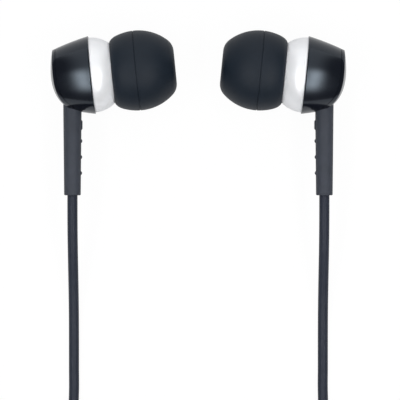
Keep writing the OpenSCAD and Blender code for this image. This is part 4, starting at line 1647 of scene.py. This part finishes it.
@dataclass(frozen=True)
class Coil:
    """A cord wound in and out in layers, as it is put away."""

    centre: Place
    start: float
    outer: float
    turns: float
    layers: int
    diameter: float
    gap: float = 0.45
    per_turn: int = 24
    short_of_end: float = 1e-4

    def radius(self, t: float) -> float:
        """The radius after t turns.

        Args:
            t: The turns.

        Returns:
            The radius.
        """
        layer = math.floor(t * self.layers / self.turns)
        share = t * self.layers / self.turns - layer
        inwards = share if layer % 2 == 0 else 1 - share
        return self.outer - (self.diameter + self.gap) * self.turns / self.layers * inwards

    def height(self, t: float) -> float:
        """How far the cord has climbed after t turns.

        Args:
            t: The turns.

        Returns:
            The height above the first layer.
        """

        def ease(x: float) -> float:
            """A smooth step from 0 to 1."""
            c = min(max(x, 0.0), 1.0)
            return c * c * (3 - 2 * c)

        per_layer = self.turns / self.layers
        climbs = [ease((t - k * per_layer) * 2 + 0.5) for k in range(1, self.layers)]
        return (self.diameter + self.gap) * sum(climbs)

    def point(self, t: float) -> Vector:
        """The cord's middle after t turns, in millimetres."""
        a, r = math.radians(self.start) + math.tau * t, self.radius(t)
        return Vector(self.centre) + Vector((r * math.cos(a), r * math.sin(a), self.height(t)))

    def line(self) -> list[Vector]:
        """The coil's points, its straight ends among them.

        Returns:
            The points.
        """
        last = self.turns - self.short_of_end
        wound = [self.point(min(i / self.per_turn, last)) for i in range(round(self.turns * self.per_turn) + 1)]
        ends = (math.radians(self.start), math.radians(self.start) + math.tau * self.turns)
        lead, tail = (Vector((-math.sin(a), math.cos(a), 0.0)) * self.diameter for a in ends)
        return [wound[0] - lead, *wound, wound[-1] + tail]


@dataclass(frozen=True)
class Cord:
    """A free cord: from its exit to its coil, round it, and on to its fitting."""

    diameter: float
    length: float
    step: float
    coil: Coil
    free: tuple[Place, ...]
    lead: tuple[Place, ...]

    def lay(
        self, shop: Workshop, name: str, nodes: Sequence[str], far_end: str, with_pieces: Sequence[str],
        side: Side = Side.LEFT,
    ) -> None:
        """Builds the cord.

        Args:
            shop: The workshop.
            name: The piece's name.
            nodes: The CAD nodes that it stands for.
            far_end: What its far end has; not used.
            with_pieces: The separate pieces on it; not used.
            side: The side that it is for.
        """
        route = [side.mirror(p) * MM for p in (*self.free, *self.coil.line(), *self.lead)]
        line = smooth_line(route, self.step * MM)
        cord = shop.piece(name, tube(name, line, self.diameter / 2 * MM), "cord", nodes)
        side.mirror(self.free[0]) * MM


@dataclass(frozen=True)
class ArmCord(Cord):
    """The cord from a bud to the splitter: down to the table, round its coil and on."""

    diameter: float = 1.6
    length: float = 320.0
    step: float = 0.7
    coil: Coil = Coil((-13.2, -62.0, 1.4), 180.0, 10.8, 4.25, 2, 1.6)
    free: tuple[Place, ...] = (
        (-19.65, -12.8706, 6.25), (-19.65, -14.4706, 6.25), (-19.65, -18.0, 5.9), (-19.65, -21.5, 4.9),
        (-19.65, -25.0, 3.4), (-19.65, -28.5, 2.0), (-19.65, -32.0, 1.1), (-19.65, -36.0, 0.8),
        (-19.65, -40.0, 0.8), (-19.65, -44.0, 0.8), (-19.9, -47.5, 0.8), (-21.1, -50.6, 0.8),
        (-22.8, -53.6, 0.9), (-23.8, -56.6, 1.2),
    )
    lead: tuple[Place, ...] = (
        (-7.3, -73.2, 3.0), (-4.9, -74.7, 2.3), (-3.3, -77.0, 1.6), (-2.2, -79.6, 1.3), (-1.4, -82.4, 1.6),
        (-1.05, -85.4, 2.0), (-1.05, -90.0, 2.0), (-1.05, -95.0, 2.0), (-1.05, -99.5, 2.0),
        (-1.05, -104.0, 2.0),
    )

    def build(self, shop: Workshop, side: Side) -> None:
        """Builds the cord; for the left one it also lists the fittings that both share.

        Args:
            shop: The workshop.
            side: Which bud it comes from.
        """
        fittings = ["splitter_upper_half"]
        if side is Side.LEFT:
            fittings += ["splitter_lower_half", "slider_on_cords"]
        nodes = [side.node(part) for part in ("arm_cord", "arm_coil", "arm_lead_in")]
        with_pieces = [side.node("coil_strap"), *fittings]
        self.lay(shop, side.node("arm_of_cable"), nodes, "fitting", with_pieces, side)


@dataclass(frozen=True)
class MainCord(Cord):
    """The cord from the splitter to the plug, wound in a coil between them."""

    diameter: float = 2.2
    length: float = 880.0
    step: float = 0.9
    coil: Coil = Coil((-9.7, -143.7, 1.7), 90.0, 15.7, 10.75, 4, 2.2)
    free: tuple[Place, ...] = (
        (0.0, -118.0, 2.0), (0.0, -120.2, 2.0), (-0.1, -122.6, 1.7), (-0.9, -125.2, 1.4), (-2.8, -127.3, 1.4),
    )
    lead: tuple[Place, ...] = (
        (6.15, -135.5, 9.2), (6.3, -131.8, 7.9), (6.5, -128.2, 6.0), (6.7, -124.8, 4.0), (6.9, -121.4, 2.3),
        (7.1, -118.0, 1.3), (7.25, -114.5, 1.1), (7.3, -111.0, 1.5), (7.3, -107.3, 2.6), (7.3, -103.8, 3.2),
        (7.3, -101.6, 3.2),
    )
    plug: tuple[str, ...] = (
        "plug_body", "plug_bend_relief", "plug_shank", "plug_band", "plug_point", "plug_dividers",
    )

    def build(self, shop: Workshop) -> None:
        """Builds the cord."""
        nodes = ["main_cord", "main_coil", "plug_cord"]
        self.lay(shop, "main_cable", nodes, "plug", ["main_coil_strap", *self.plug])


@dataclass(frozen=True)
class Strap:
    """The woven tie round a coil: a flat band with soft edges, bent round the turns."""

    thickness: float = 0.5
    corner: float = 0.8
    soft: float = 0.14
    step: float = 0.5

    def path(self, wide: float, high: float) -> list[Point]:
        """The band's middle line round a bundle, clockwise.

        Args:
            wide, high: The band's outer size.

        Returns:
            The points, at even steps.
        """
        r = self.corner - self.thickness / 2
        x, z = (wide - self.thickness) / 2 - r, (high - self.thickness) / 2 - r
        corners: list[Point] = []
        for cx, cz, first in ((x, z, 90), (x, -z, 0), (-x, -z, -90), (-x, z, -180)):
            corners += arc((cx, cz), r, first, first - 90, steps=6)
        full: list[Point] = []
        for (ax, az), (bx, bz) in zip(corners, corners[1:] + corners[:1]):
            steps = max(1, round(math.hypot(bx - ax, bz - az) / self.step))
            full += list(zip(evenly(ax, bx, steps), evenly(az, bz, steps)))[:-1]
        return full

    def section(self, band: float) -> list[Point]:
        """The band's own section, across and through it, with soft edges.

        Args:
            band: The band's width.

        Returns:
            The points of (across, through).
        """
        x, y = band / 2 - self.soft, self.thickness / 2 - self.soft
        points: list[Point] = []
        for cx, cy, first in ((x, y, 0), (-x, y, 90), (-x, -y, 180), (x, -y, 270)):
            points += arc((cx, cy), self.soft, first, first + 90, steps=3)
        return points

    def build(self, shop: Workshop, name: str, node: str, radial_x: bool) -> None:
        """Builds a strap in the place of its CAD solid.

        Args:
            shop: The workshop.
            name: The piece's name.
            node: The CAD node of the tie.
            radial_x: Whether the band goes round the bundle in the XZ plane, or in the YZ plane.
        """
        low, high = (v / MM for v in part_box(node))
        centre, size = (low + high) / 2, high - low
        wide, band = (size.x, size.y) if radial_x else (size.y, size.x)
        path, section = self.path(wide, size.z), self.section(band)
        rings, run = [], [0.0]
        for i, (px, pz) in enumerate(path):
            bx, bz = path[i - 1]
            nx, nz = path[(i + 1) % len(path)]
            heading = Vector((nx - bx, nz - bz)).normalized()
            ring = []
            for across, off in section:
                x, z = px - heading.y * off, pz + heading.x * off
                spot = Vector((x, across, z)) if radial_x else Vector((across, x, z))
                ring.append((centre + spot) * MM)
            rings.append(ring)
            run.append(run[-1] + math.hypot(nx - px, nz - pz))

        def weave(k: int, j: int) -> Point:
            """The UV at a point of the section and of the path."""
            return section[k % len(section)][0], run[j]

        mesh = ring_skin(name, rings, loop=True, uv_name="weave", uv_at=weave)
        shop.piece(name, mesh, "tie", [node])


# ---- Splitter, slider and plug ----


@dataclass(frozen=True)
class PillBody:
    """A moulded body with a pill's plan, along Y, round in section and with soft ends."""

    corner: float
    edge: float
    end_round: float = 0.35
    chamfer: float = 0.07
    seam: float = 0.05
    steps: int = 10

    def half_section(self, wide: float, high: float) -> list[Point]:
        """The upper half of the section, from right to left over the top, its parting edge bevelled.

        Args:
            wide, high: The half's size.

        Returns:
            The points of (x, z).
        """
        w, e = wide / 2, self.edge
        right = [(w - self.chamfer, 0.0), (w, self.chamfer)] + arc((w - e, high - e), e, 0, 90, self.steps)
        return right + [(-x, z) for x, z in reversed(right)]

    def full_section(self, wide: float, high: float) -> list[Point]:
        """The whole section round its middle, with a raised moulding seam on each side.

        Args:
            wide, high: The body's size.

        Returns:
            The points of (x, z).
        """
        w, e = wide / 2, self.edge
        right = [(w, 0.0), (w - self.seam, self.seam)]
        right += arc((w - self.seam - e, high / 2 - e), e, 0, 90, self.steps)
        upper = right + [(-x, z) for x, z in reversed(right)]
        return upper + [(x, -z) for x, z in reversed(upper[1:-1])]

    def half(self, name: str, box: tuple[Vector, Vector], up: bool) -> bpy.types.Mesh:
        """One half of the body.

        Args:
            name: The mesh's name.
            box: The lowest and highest corner of the half, in metres.
            up: Whether it is the upper half.

        Returns:
            The closed mesh, in metres.
        """
        low, high = (v / MM for v in box)
        size = high - low
        section = [(x, z if up else -z) for x, z in self.half_section(size.x, size.z)]
        return self.loft(name, section, low, high, low.z if up else high.z, size.z)

    def whole(self, name: str, box: tuple[Vector, Vector]) -> bpy.types.Mesh:
        """The body in one piece.

        Args:
            name: The mesh's name.
            box: Its lowest and highest corner, in metres.

        Returns:
            The closed mesh, in metres.
        """
        low, high = (v / MM for v in box)
        size = high - low
        section = self.full_section(size.x, size.z)
        return self.loft(name, section, low, high, (low.z + high.z) / 2, size.z / 2)

    def loft(
        self, name: str, section: Sequence[Point], low: Vector, high: Vector, base: float, tall: float
    ) -> bpy.types.Mesh:
        """Sweeps a section along the body, narrowed and lowered at its ends.

        Args:
            name: The mesh's name.
            section: Points of (x, z), with z zero at the base.
            low, high: The body's corners.
            base: The height that the section stands on.
            tall: How far the section reaches from the base.

        Returns:
            The closed mesh, in metres.
        """
        half, middle = (high.x - low.x) / 2, (low.x + high.x) / 2
        ends = [(self.corner * (1 - math.cos(a)), math.sin(a)) for a in evenly(0.0, math.pi / 2, self.steps)]
        rings = []
        for face, inwards, stations in ((low.y, 1, ends), (high.y, -1, ends[::-1])):
            for depth, share in stations:
                narrowed = (half - self.corner + self.corner * share) / half
                lift = 1 - min(1.0, depth / self.end_round)
                lowered = 1 - self.end_round * (1 - math.sqrt(1 - lift**2)) / tall
                y = face + inwards * depth
                rings.append([Vector((middle + x * narrowed, y, base + z * lowered)) * MM for x, z in section])
        poles = [sum(ring, Vector()) / len(ring) for ring in (rings[0], rings[-1])]
        return ring_skin(name, rings, poles=poles)


@dataclass(frozen=True)
class Splitter:
    """The splitter's two halves, bored for the cords."""

    pill: PillBody = PillBody(2.2, 1.6)
    twin_pitch: float = 2.1
    arm_bore: float = 0.83
    main_bore: float = 1.13
    bore_reach: float = 4.0

    def build(self, shop: Workshop) -> None:
        """Builds both halves.

        Args:
            shop: The workshop.
        """
        for name, node, up in (
            ("splitter_upper_half", "splitter_top", True),
            ("splitter_lower_half", "splitter_bottom", False),
        ):
            low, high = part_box(node)
            mesh = self.pill.half(name, (low, high), up)
            parting = low.z if up else high.z
            twins = [(side * self.twin_pitch / 2 * MM, high.y, parting) for side in (-1, 1)]
            for radius, places in ((self.arm_bore, twins), (self.main_bore, [(0.0, low.y, parting)])):
                drill = shop.drill(radius, -self.bore_reach, self.bore_reach)
                mesh = shop.cut(mesh, drill, places, "black_plastic")
            shop.piece(name, mesh, "black_plastic", [node])


@dataclass(frozen=True)
class Slider:
    """The slider that draws the twin cords together."""

    pill: PillBody = PillBody(1.8, 1.4)
    twin_pitch: float = 2.1
    bore: float = 0.88
    groove_pitch: float = 1.1
    groove_radius: float = 0.28
    groove_above: float = 0.126
    grooves: int = 5

    def build(self, shop: Workshop) -> None:
        """Builds the slider with its bores and its finger grooves.

        Args:
            shop: The workshop.
        """
        low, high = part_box("cord_slider")
        middle, reach = (low + high) / 2, (high.y - low.y) / MM
        bores = [(middle.x + side * self.twin_pitch / 2 * MM, middle.y, middle.z) for side in (-1, 1)]
        mesh = self.pill.whole("slider_on_cords", (low, high))
        mesh = shop.cut(mesh, shop.drill(self.bore, -reach, reach), bores, "black_plastic")
        first = middle.y - (self.grooves - 1) / 2 * self.groove_pitch * MM
        places = [
            (middle.x, first + k * self.groove_pitch * MM, z)
            for k in range(self.grooves)
            for z in (high.z + self.groove_above * MM, low.z - self.groove_above * MM)
        ]
        across = shop.drill(self.groove_radius, -reach, reach, along_y=False, segments=24)
        mesh = shop.cut(mesh, across, places, "black_plastic")
        shop.piece("slider_on_cords", mesh, "black_plastic", ["cord_slider"], "slider")


@dataclass(frozen=True)
class Plug:
    """The right-angled plug: gold-plated contacts along X, a moulded grip, a ribbed bend relief along Y."""

    knee: Place = (7.3, -83.4, 3.2)
    grip_half: float = 4.0
    grip_radius: float = 3.2
    grip_round: float = 0.7
    arm_radius: float = 2.5
    arm_length: float = 9.2
    arm_round: float = 0.3
    dips: tuple[float, ...] = (3.6, 4.9, 6.2)
    dip_depth: float = 0.22
    dip_width: float = 0.32
    cord_bore: Point = (1.13, 3.2)
    pin_bore: Point = (1.53, 2.03)
    bore_clear: float = 1.0
    pin_radius: float = 1.75
    root_radius: float = 1.5
    buried: float = 2.0
    core_bore: float = 0.88
    shank_end: float = 7.6
    band: Point = (8.3, 10.1)
    edge: float = 0.09
    liner: Place = (-2.5, 0.53, 0.85)
    divider_sink: float = 0.02
    point_u: float = 10.8
    point_land: float = 0.4
    point_curves: tuple[tuple[int, tuple[Point, ...]], ...] = (
        (6, ((0.45, 1.75), (0.8, 1.5), (0.9, 1.25), (1.12, 1.25))),
        (6, ((1.2, 1.25), (1.5, 1.3), (1.6, 1.58), (1.95, 1.59))),
        (8, ((2.0, 1.6), (2.4, 1.58), (2.9, 1.1), (3.08, 0.78))),
    )
    point_nose: tuple[Point, ...] = ((3.17, 0.66), (3.2, 0.5), (3.2, 0.0))
    relief_radii: Point = (2.2, 1.65)
    relief_length: float = 9.0
    relief_round: float = 0.25
    ribs: int = 4
    rib_first: float = 1.4
    rib_pitch: float = 1.6
    rib_gap: float = 0.6
    rib_depth: float = 0.35
    rib_edge: float = 0.08
    rib_foot: Point = (0.12, 0.06)

    def to_pin(self) -> Matrix:
        """Takes a form turned along X, zero at the grip's face, to its place."""
        return Matrix.Translation(Vector(self.knee) + Vector((self.grip_half, 0.0, 0.0)))

    def to_cord(self) -> Matrix:
        """Takes a form turned along X, zero at the end of the grip's arm and running on, to its place."""
        end = Vector(self.knee) - Vector((0.0, self.arm_length, 0.0))
        return Matrix.Translation(end) @ Matrix.Rotation(-math.pi / 2, 4, "Z")

    def arm(self) -> list[Point]:
        """The outline of the grip's arm, from its outer end to the knee, with dips for the fingers.

        Returns:
            The outline.
        """
        r = self.arm_round

        def radius(s: float) -> float:
            """The arm's radius at a distance from its outer end."""
            marks = (((s - self.arm_length + dip) / self.dip_width) ** 2 for dip in self.dips)
            return self.arm_radius - sum(self.dip_depth * math.exp(-mark) for mark in marks)

        return [
            (0.0, 0.0),
            *arc((r, self.arm_radius - r), r, 180, 90, steps=5),
            *((s, radius(s)) for s in evenly(r, self.arm_length, 60)[1:]),
            (self.arm_length, 0.0),
        ]

    def grip(self, shop: Workshop) -> bpy.types.Mesh:
        """The moulded grip with its arm, bored for the contacts and the cord.

        Args:
            shop: The workshop.

        Returns:
            The mesh, in place.
        """
        half, finish = self.grip_half, "black_plastic"
        body = barrel(self.grip_radius, -half, half, self.grip_round, steps=8)
        solid = shop.turn("plug_body", [(-half, 0.0), *body, (half, 0.0)], finish, segments=96)
        stem = shop.turn("stem", self.arm(), finish, segments=96)
        stem.transform(Matrix.Rotation(math.pi / 2, 4, "Z"))
        solid = shop.join(solid, stem, [(0.0, -self.arm_length, 0.0)], finish)
        settle(solid, Matrix.Translation(self.knee))
        radius, deep = self.pin_bore
        pin = shop.drill(radius, -deep, self.bore_clear, along_y=False)
        solid = shop.cut(solid, pin, [self.to_pin().translation * MM], finish)
        radius, reach = self.cord_bore
        deep = self.arm_length - reach
        return shop.cut(solid, shop.drill(radius, -deep, deep), [self.to_cord().translation * MM], finish)

    def relief(self) -> list[Point]:
        """The bend relief's outline, from the grip's arm outwards, with grooves between its ribs.

        Returns:
            The outline.
        """
        first, last = self.relief_radii
        end, e, (foot, rise), r = self.relief_length, self.rib_edge, self.rib_foot, self.relief_round

        def radius(s: float) -> float:
            """The cone's radius at a distance from the grip."""
            return first + (last - first) * s / end

        points = [(0.0, self.cord_bore[0]), (0.0, radius(0.0))]
        for k in range(self.ribs):
            near = self.rib_first + k * self.rib_pitch
            low = radius(near) - self.rib_depth
            for lip, out, order in ((near, -1, 1), (near + self.rib_gap, 1, -1)):
                flank = [
                    (lip + out * e, radius(lip)),
                    (lip, radius(lip) - e),
                    (lip - out * foot / 3, low + rise),
                    (lip - out * foot, low),
                ]
                points += flank[::order]
        points += arc((end - r, last - r), r, 90, 0, steps=5)
        return [*points, (end, self.cord_bore[0])]

    def ring(self, first: float, last: float) -> list[Point]:
        """The outline of a contact ring on the core, its outer edges rounded off."""
        rounded = barrel(self.pin_radius, first, last, self.edge, steps=4)
        return [(first, self.core_bore), *rounded, (last, self.core_bore)]

    def shank(self) -> list[Point]:
        """The outline of the sleeve contact, which has a thinner root in the grip."""
        root = [(-self.buried, self.core_bore), (-self.buried, self.root_radius), (0.0, self.root_radius)]
        return [*root, *self.ring(0.0, self.shank_end)[1:]]

    def point(self) -> list[Point]:
        """The tip contact's outline: a land, a neck for the socket's spring and a blunt point.

        Returns:
            The outline.
        """
        start, r, e = self.point_u, self.pin_radius, self.edge
        points = [(start, 0.0), *arc((start + e, r - e), e, 180, 90, steps=4), (start + self.point_land, r)]
        for steps, handles in self.point_curves:
            points += bezier([(start + u, v) for u, v in handles], steps)
        return [*points, *((start + u, v) for u, v in self.point_nose)]

    def dividers(self) -> list[Point]:
        """The insulators' outline: a liner with a divider between each two contacts.

        Returns:
            The outline.
        """
        start, inner, outer = self.liner
        out = self.pin_radius - self.divider_sink
        points = [(start, inner), (start, outer)]
        for first, last in ((self.shank_end, self.band[0]), (self.band[1], self.point_u)):
            points += [(first, outer), (first, out), (last, out), (last, outer)]
        return [*points[:-1], (self.point_u, inner)]

    def build(self, shop: Workshop) -> None:
        """Builds the plug's pieces.

        Args:
            shop: The workshop.
        """
        shop.piece("plug_body", self.grip(shop), "black_plastic", ["plug_grip"])
        for name, node, outline, finish, segments, place in (
            ("plug_bend_relief", "plug_relief", self.relief(), "black_plastic", 64, self.to_cord()),
            ("plug_shank", "plug_sleeve", self.shank(), "gilt", 96, self.to_pin()),
            ("plug_band", "plug_ring", self.ring(*self.band), "gilt", 96, self.to_pin()),
            ("plug_point", "plug_tip", self.point(), "gilt", 96, self.to_pin()),
            ("plug_dividers", "plug_insulators", self.dividers(), "black_plastic", 96, self.to_pin()),
        ):
            mesh = settle(shop.turn(name, outline, finish, segments), place)
            shop.piece(name, mesh, finish, [node])


# ---- Camera, light and surroundings ----


@dataclass(frozen=True)
class Studio:
    """The camera from straight above, a pale table, and a white surround with a soft box on each side.

    The surround's light is written over the direction that it comes from, a unit vector: X is to the right,
    Y up the picture and Z towards the camera. A radiance of 1 is white.
    """

    camera_at: Place = (0.25, -13.6, 450.0)
    lens: float = 256.0
    sensor: float = 36.0
    clip: Point = (0.01, 20.0)
    overhead: float = 1.05
    ambient: float = 0.18
    side_fall: Point = (0.487, 0.587)
    near_fall: Point = (-0.7, -0.86)
    box_x: float = 0.492
    box_lean: float = 0.1
    box_bend: float = 0.1
    box_y: float = -0.265
    box_half: Point = (0.046, 0.42)
    box_square: float = 4.0
    box_radiance: float = 7.4
    table_colour: Colour = srgb(200, 200, 202)
    table_roughness: float = 0.8
    table_white: float = 0.92
    table_strength: float = 1.04
    table_glow: float = 0.5
    table_half: float = 3.0
    table_drop: float = 2e-5

    def camera(self) -> None:
        """Puts the camera straight above the buds."""
        data = bpy.data.cameras.new("camera")
        data.lens, data.sensor_width = self.lens, self.sensor
        data.clip_start, data.clip_end = self.clip
        camera = add_object("camera", data)
        camera.location = Vector(self.camera_at) * MM
        bpy.context.scene.camera = camera

    def light(self, canvas: Shading) -> bpy.types.NodeSocket:
        """The surround's radiance as a light: a sky overhead, and a leaning soft box on each side.

        Args:
            canvas: The world's nodes.

        Returns:
            The radiance.
        """
        heading = canvas.add("ShaderNodeTexCoord").outputs["Generated"]
        parts = canvas.add("ShaderNodeSeparateXYZ", {"Vector": heading}).outputs
        along = parts["Y"]
        lean = canvas.math("SUBTRACT", self.box_lean, canvas.times(along, self.box_bend))
        aside = canvas.math("SUBTRACT", canvas.math("ABSOLUTE", parts["X"]), canvas.times(along, lean))
        open_sky = canvas.times(canvas.fall(aside, self.side_fall), canvas.fall(along, self.near_fall))
        sky = canvas.spread(open_sky, self.ambient, self.overhead)
        across = canvas.bell(aside, self.box_x, self.box_half[0], self.box_square)
        box = canvas.times(across, canvas.bell(along, self.box_y, self.box_half[1], self.box_square))
        above = canvas.math("GREATER_THAN", parts["Z"], 0.0)
        return canvas.math("ADD", sky, canvas.times(canvas.times(box, above), self.box_radiance))

    def surround(self) -> None:
        """Makes the world: white to the eye, and softly lit as a light."""
        world = bpy.data.worlds.new("surround")
        bpy.context.scene.world = world
        world.use_nodes = True
        canvas = Shading(world.node_tree)
        back = world.node_tree.nodes["Background"]
        seen = canvas.rays()[0]
        canvas.set(back.inputs["Color"], WHITE)
        canvas.set(back.inputs["Strength"], canvas.spread(seen, self.light(canvas), 1.0))

    def table_finish(self) -> bpy.types.Material:
        """The table's finish: pale, white to the eye but for its shadows, and half white in reflections.

        Returns:
            The material.
        """
        material = bpy.data.materials.new("pale_table")
        material.use_nodes = True
        canvas = Shading(material.node_tree)
        shader, out = (canvas.tree.nodes[name] for name in ("Principled BSDF", "Material Output"))
        canvas.set(shader.inputs["Base Color"], self.table_colour)
        canvas.set(shader.inputs["Roughness"], self.table_roughness)
        seen, mirrored = canvas.rays()
        white, glow = canvas.times(seen, self.table_white), canvas.times(mirrored, self.table_glow)
        bright = canvas.add("ShaderNodeEmission", {"Color": WHITE, "Strength": self.table_strength})
        mixed = canvas.add("ShaderNodeMixShader", {"Fac": canvas.math("MAXIMUM", white, glow)})
        canvas.set(mixed.inputs[1], shader.outputs["BSDF"])
        canvas.set(mixed.inputs[2], bright.outputs["Emission"])
        canvas.set(out.inputs["Surface"], mixed.outputs["Shader"])
        return material

    def table(self) -> None:
        """Lays the pale table that the earphones lie on."""
        mesh = bpy.data.meshes.new("table")
        corners = [
            (x * self.table_half, y * self.table_half, -self.table_drop)
            for x, y in ((-1, -1), (1, -1), (1, 1), (-1, 1))
        ]
        mesh.from_pydata(corners, [], [(0, 1, 2, 3)])
        mesh.materials.append(self.table_finish())
        add_object("table", mesh)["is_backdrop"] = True

    def build(self) -> None:
        """Sets up everything that isn't the earphones."""
        bpy.context.scene.view_settings.view_transform = "Standard"
        self.camera()
        self.surround()
        self.table()


# ---- The whole ----

INNER_FINISHES: dict[str, str] = {
    "damper": "foam",
    "driver_frame": "black_plastic",
    "diaphragm": "film",
    "voice_coil": "copper",
    "pole_plate": "iron",
    "magnet": "magnet",
    "yoke": "iron",
    "terminal_board": "board",
    "cord_end": "cord_core",
    "cord_clamp": "steel",
    "lead_wires": "copper",
}
CABLE_FINISHES: dict[str, str] = {
    "splitter_crimp": "steel",
    "splitter_cord_ends": "cord_core",
    "plug_core": "gilt",
    "plug_cord_end": "cord_core",
}


def corners(box: tuple[Vector, Vector]) -> list[list[float]]:
    """A box's two corners as plain lists."""
    return [list(box[0]), list(box[1])]


def main() -> None:
    """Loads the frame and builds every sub-assembly round it."""
    logging.basicConfig(level=logging.INFO, format="%(message)s")
    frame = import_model()
    cad_box = corners(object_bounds())
    shop = Workshop(frame)
    Studio().build()
    axis = BudAxis()
    for side in Side:
        for part in (EarTip(), FrontShell(), RearHousing(), Sleeve()):
            part.build(shop, axis, side)
        Strap().build(shop, side.node("coil_strap"), side.node("arm_coil_tie"), radial_x=True)
        for piece, finish in INNER_FINISHES.items():
            shop.dress(side.node(piece), finish)
    Strap().build(shop, "main_coil_strap", "main_coil_tie", radial_x=False)
    for part in (Splitter(), Slider(), Plug()):
        part.build(shop)
    for piece, finish in CABLE_FINISHES.items():
        shop.dress(piece, finish)
    for side in Side:
        ArmCord().build(shop, side)
    MainCord().build(shop)
    {"cad": cad_box, "visual": corners(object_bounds())}


if __name__ == "__main__":
    main()
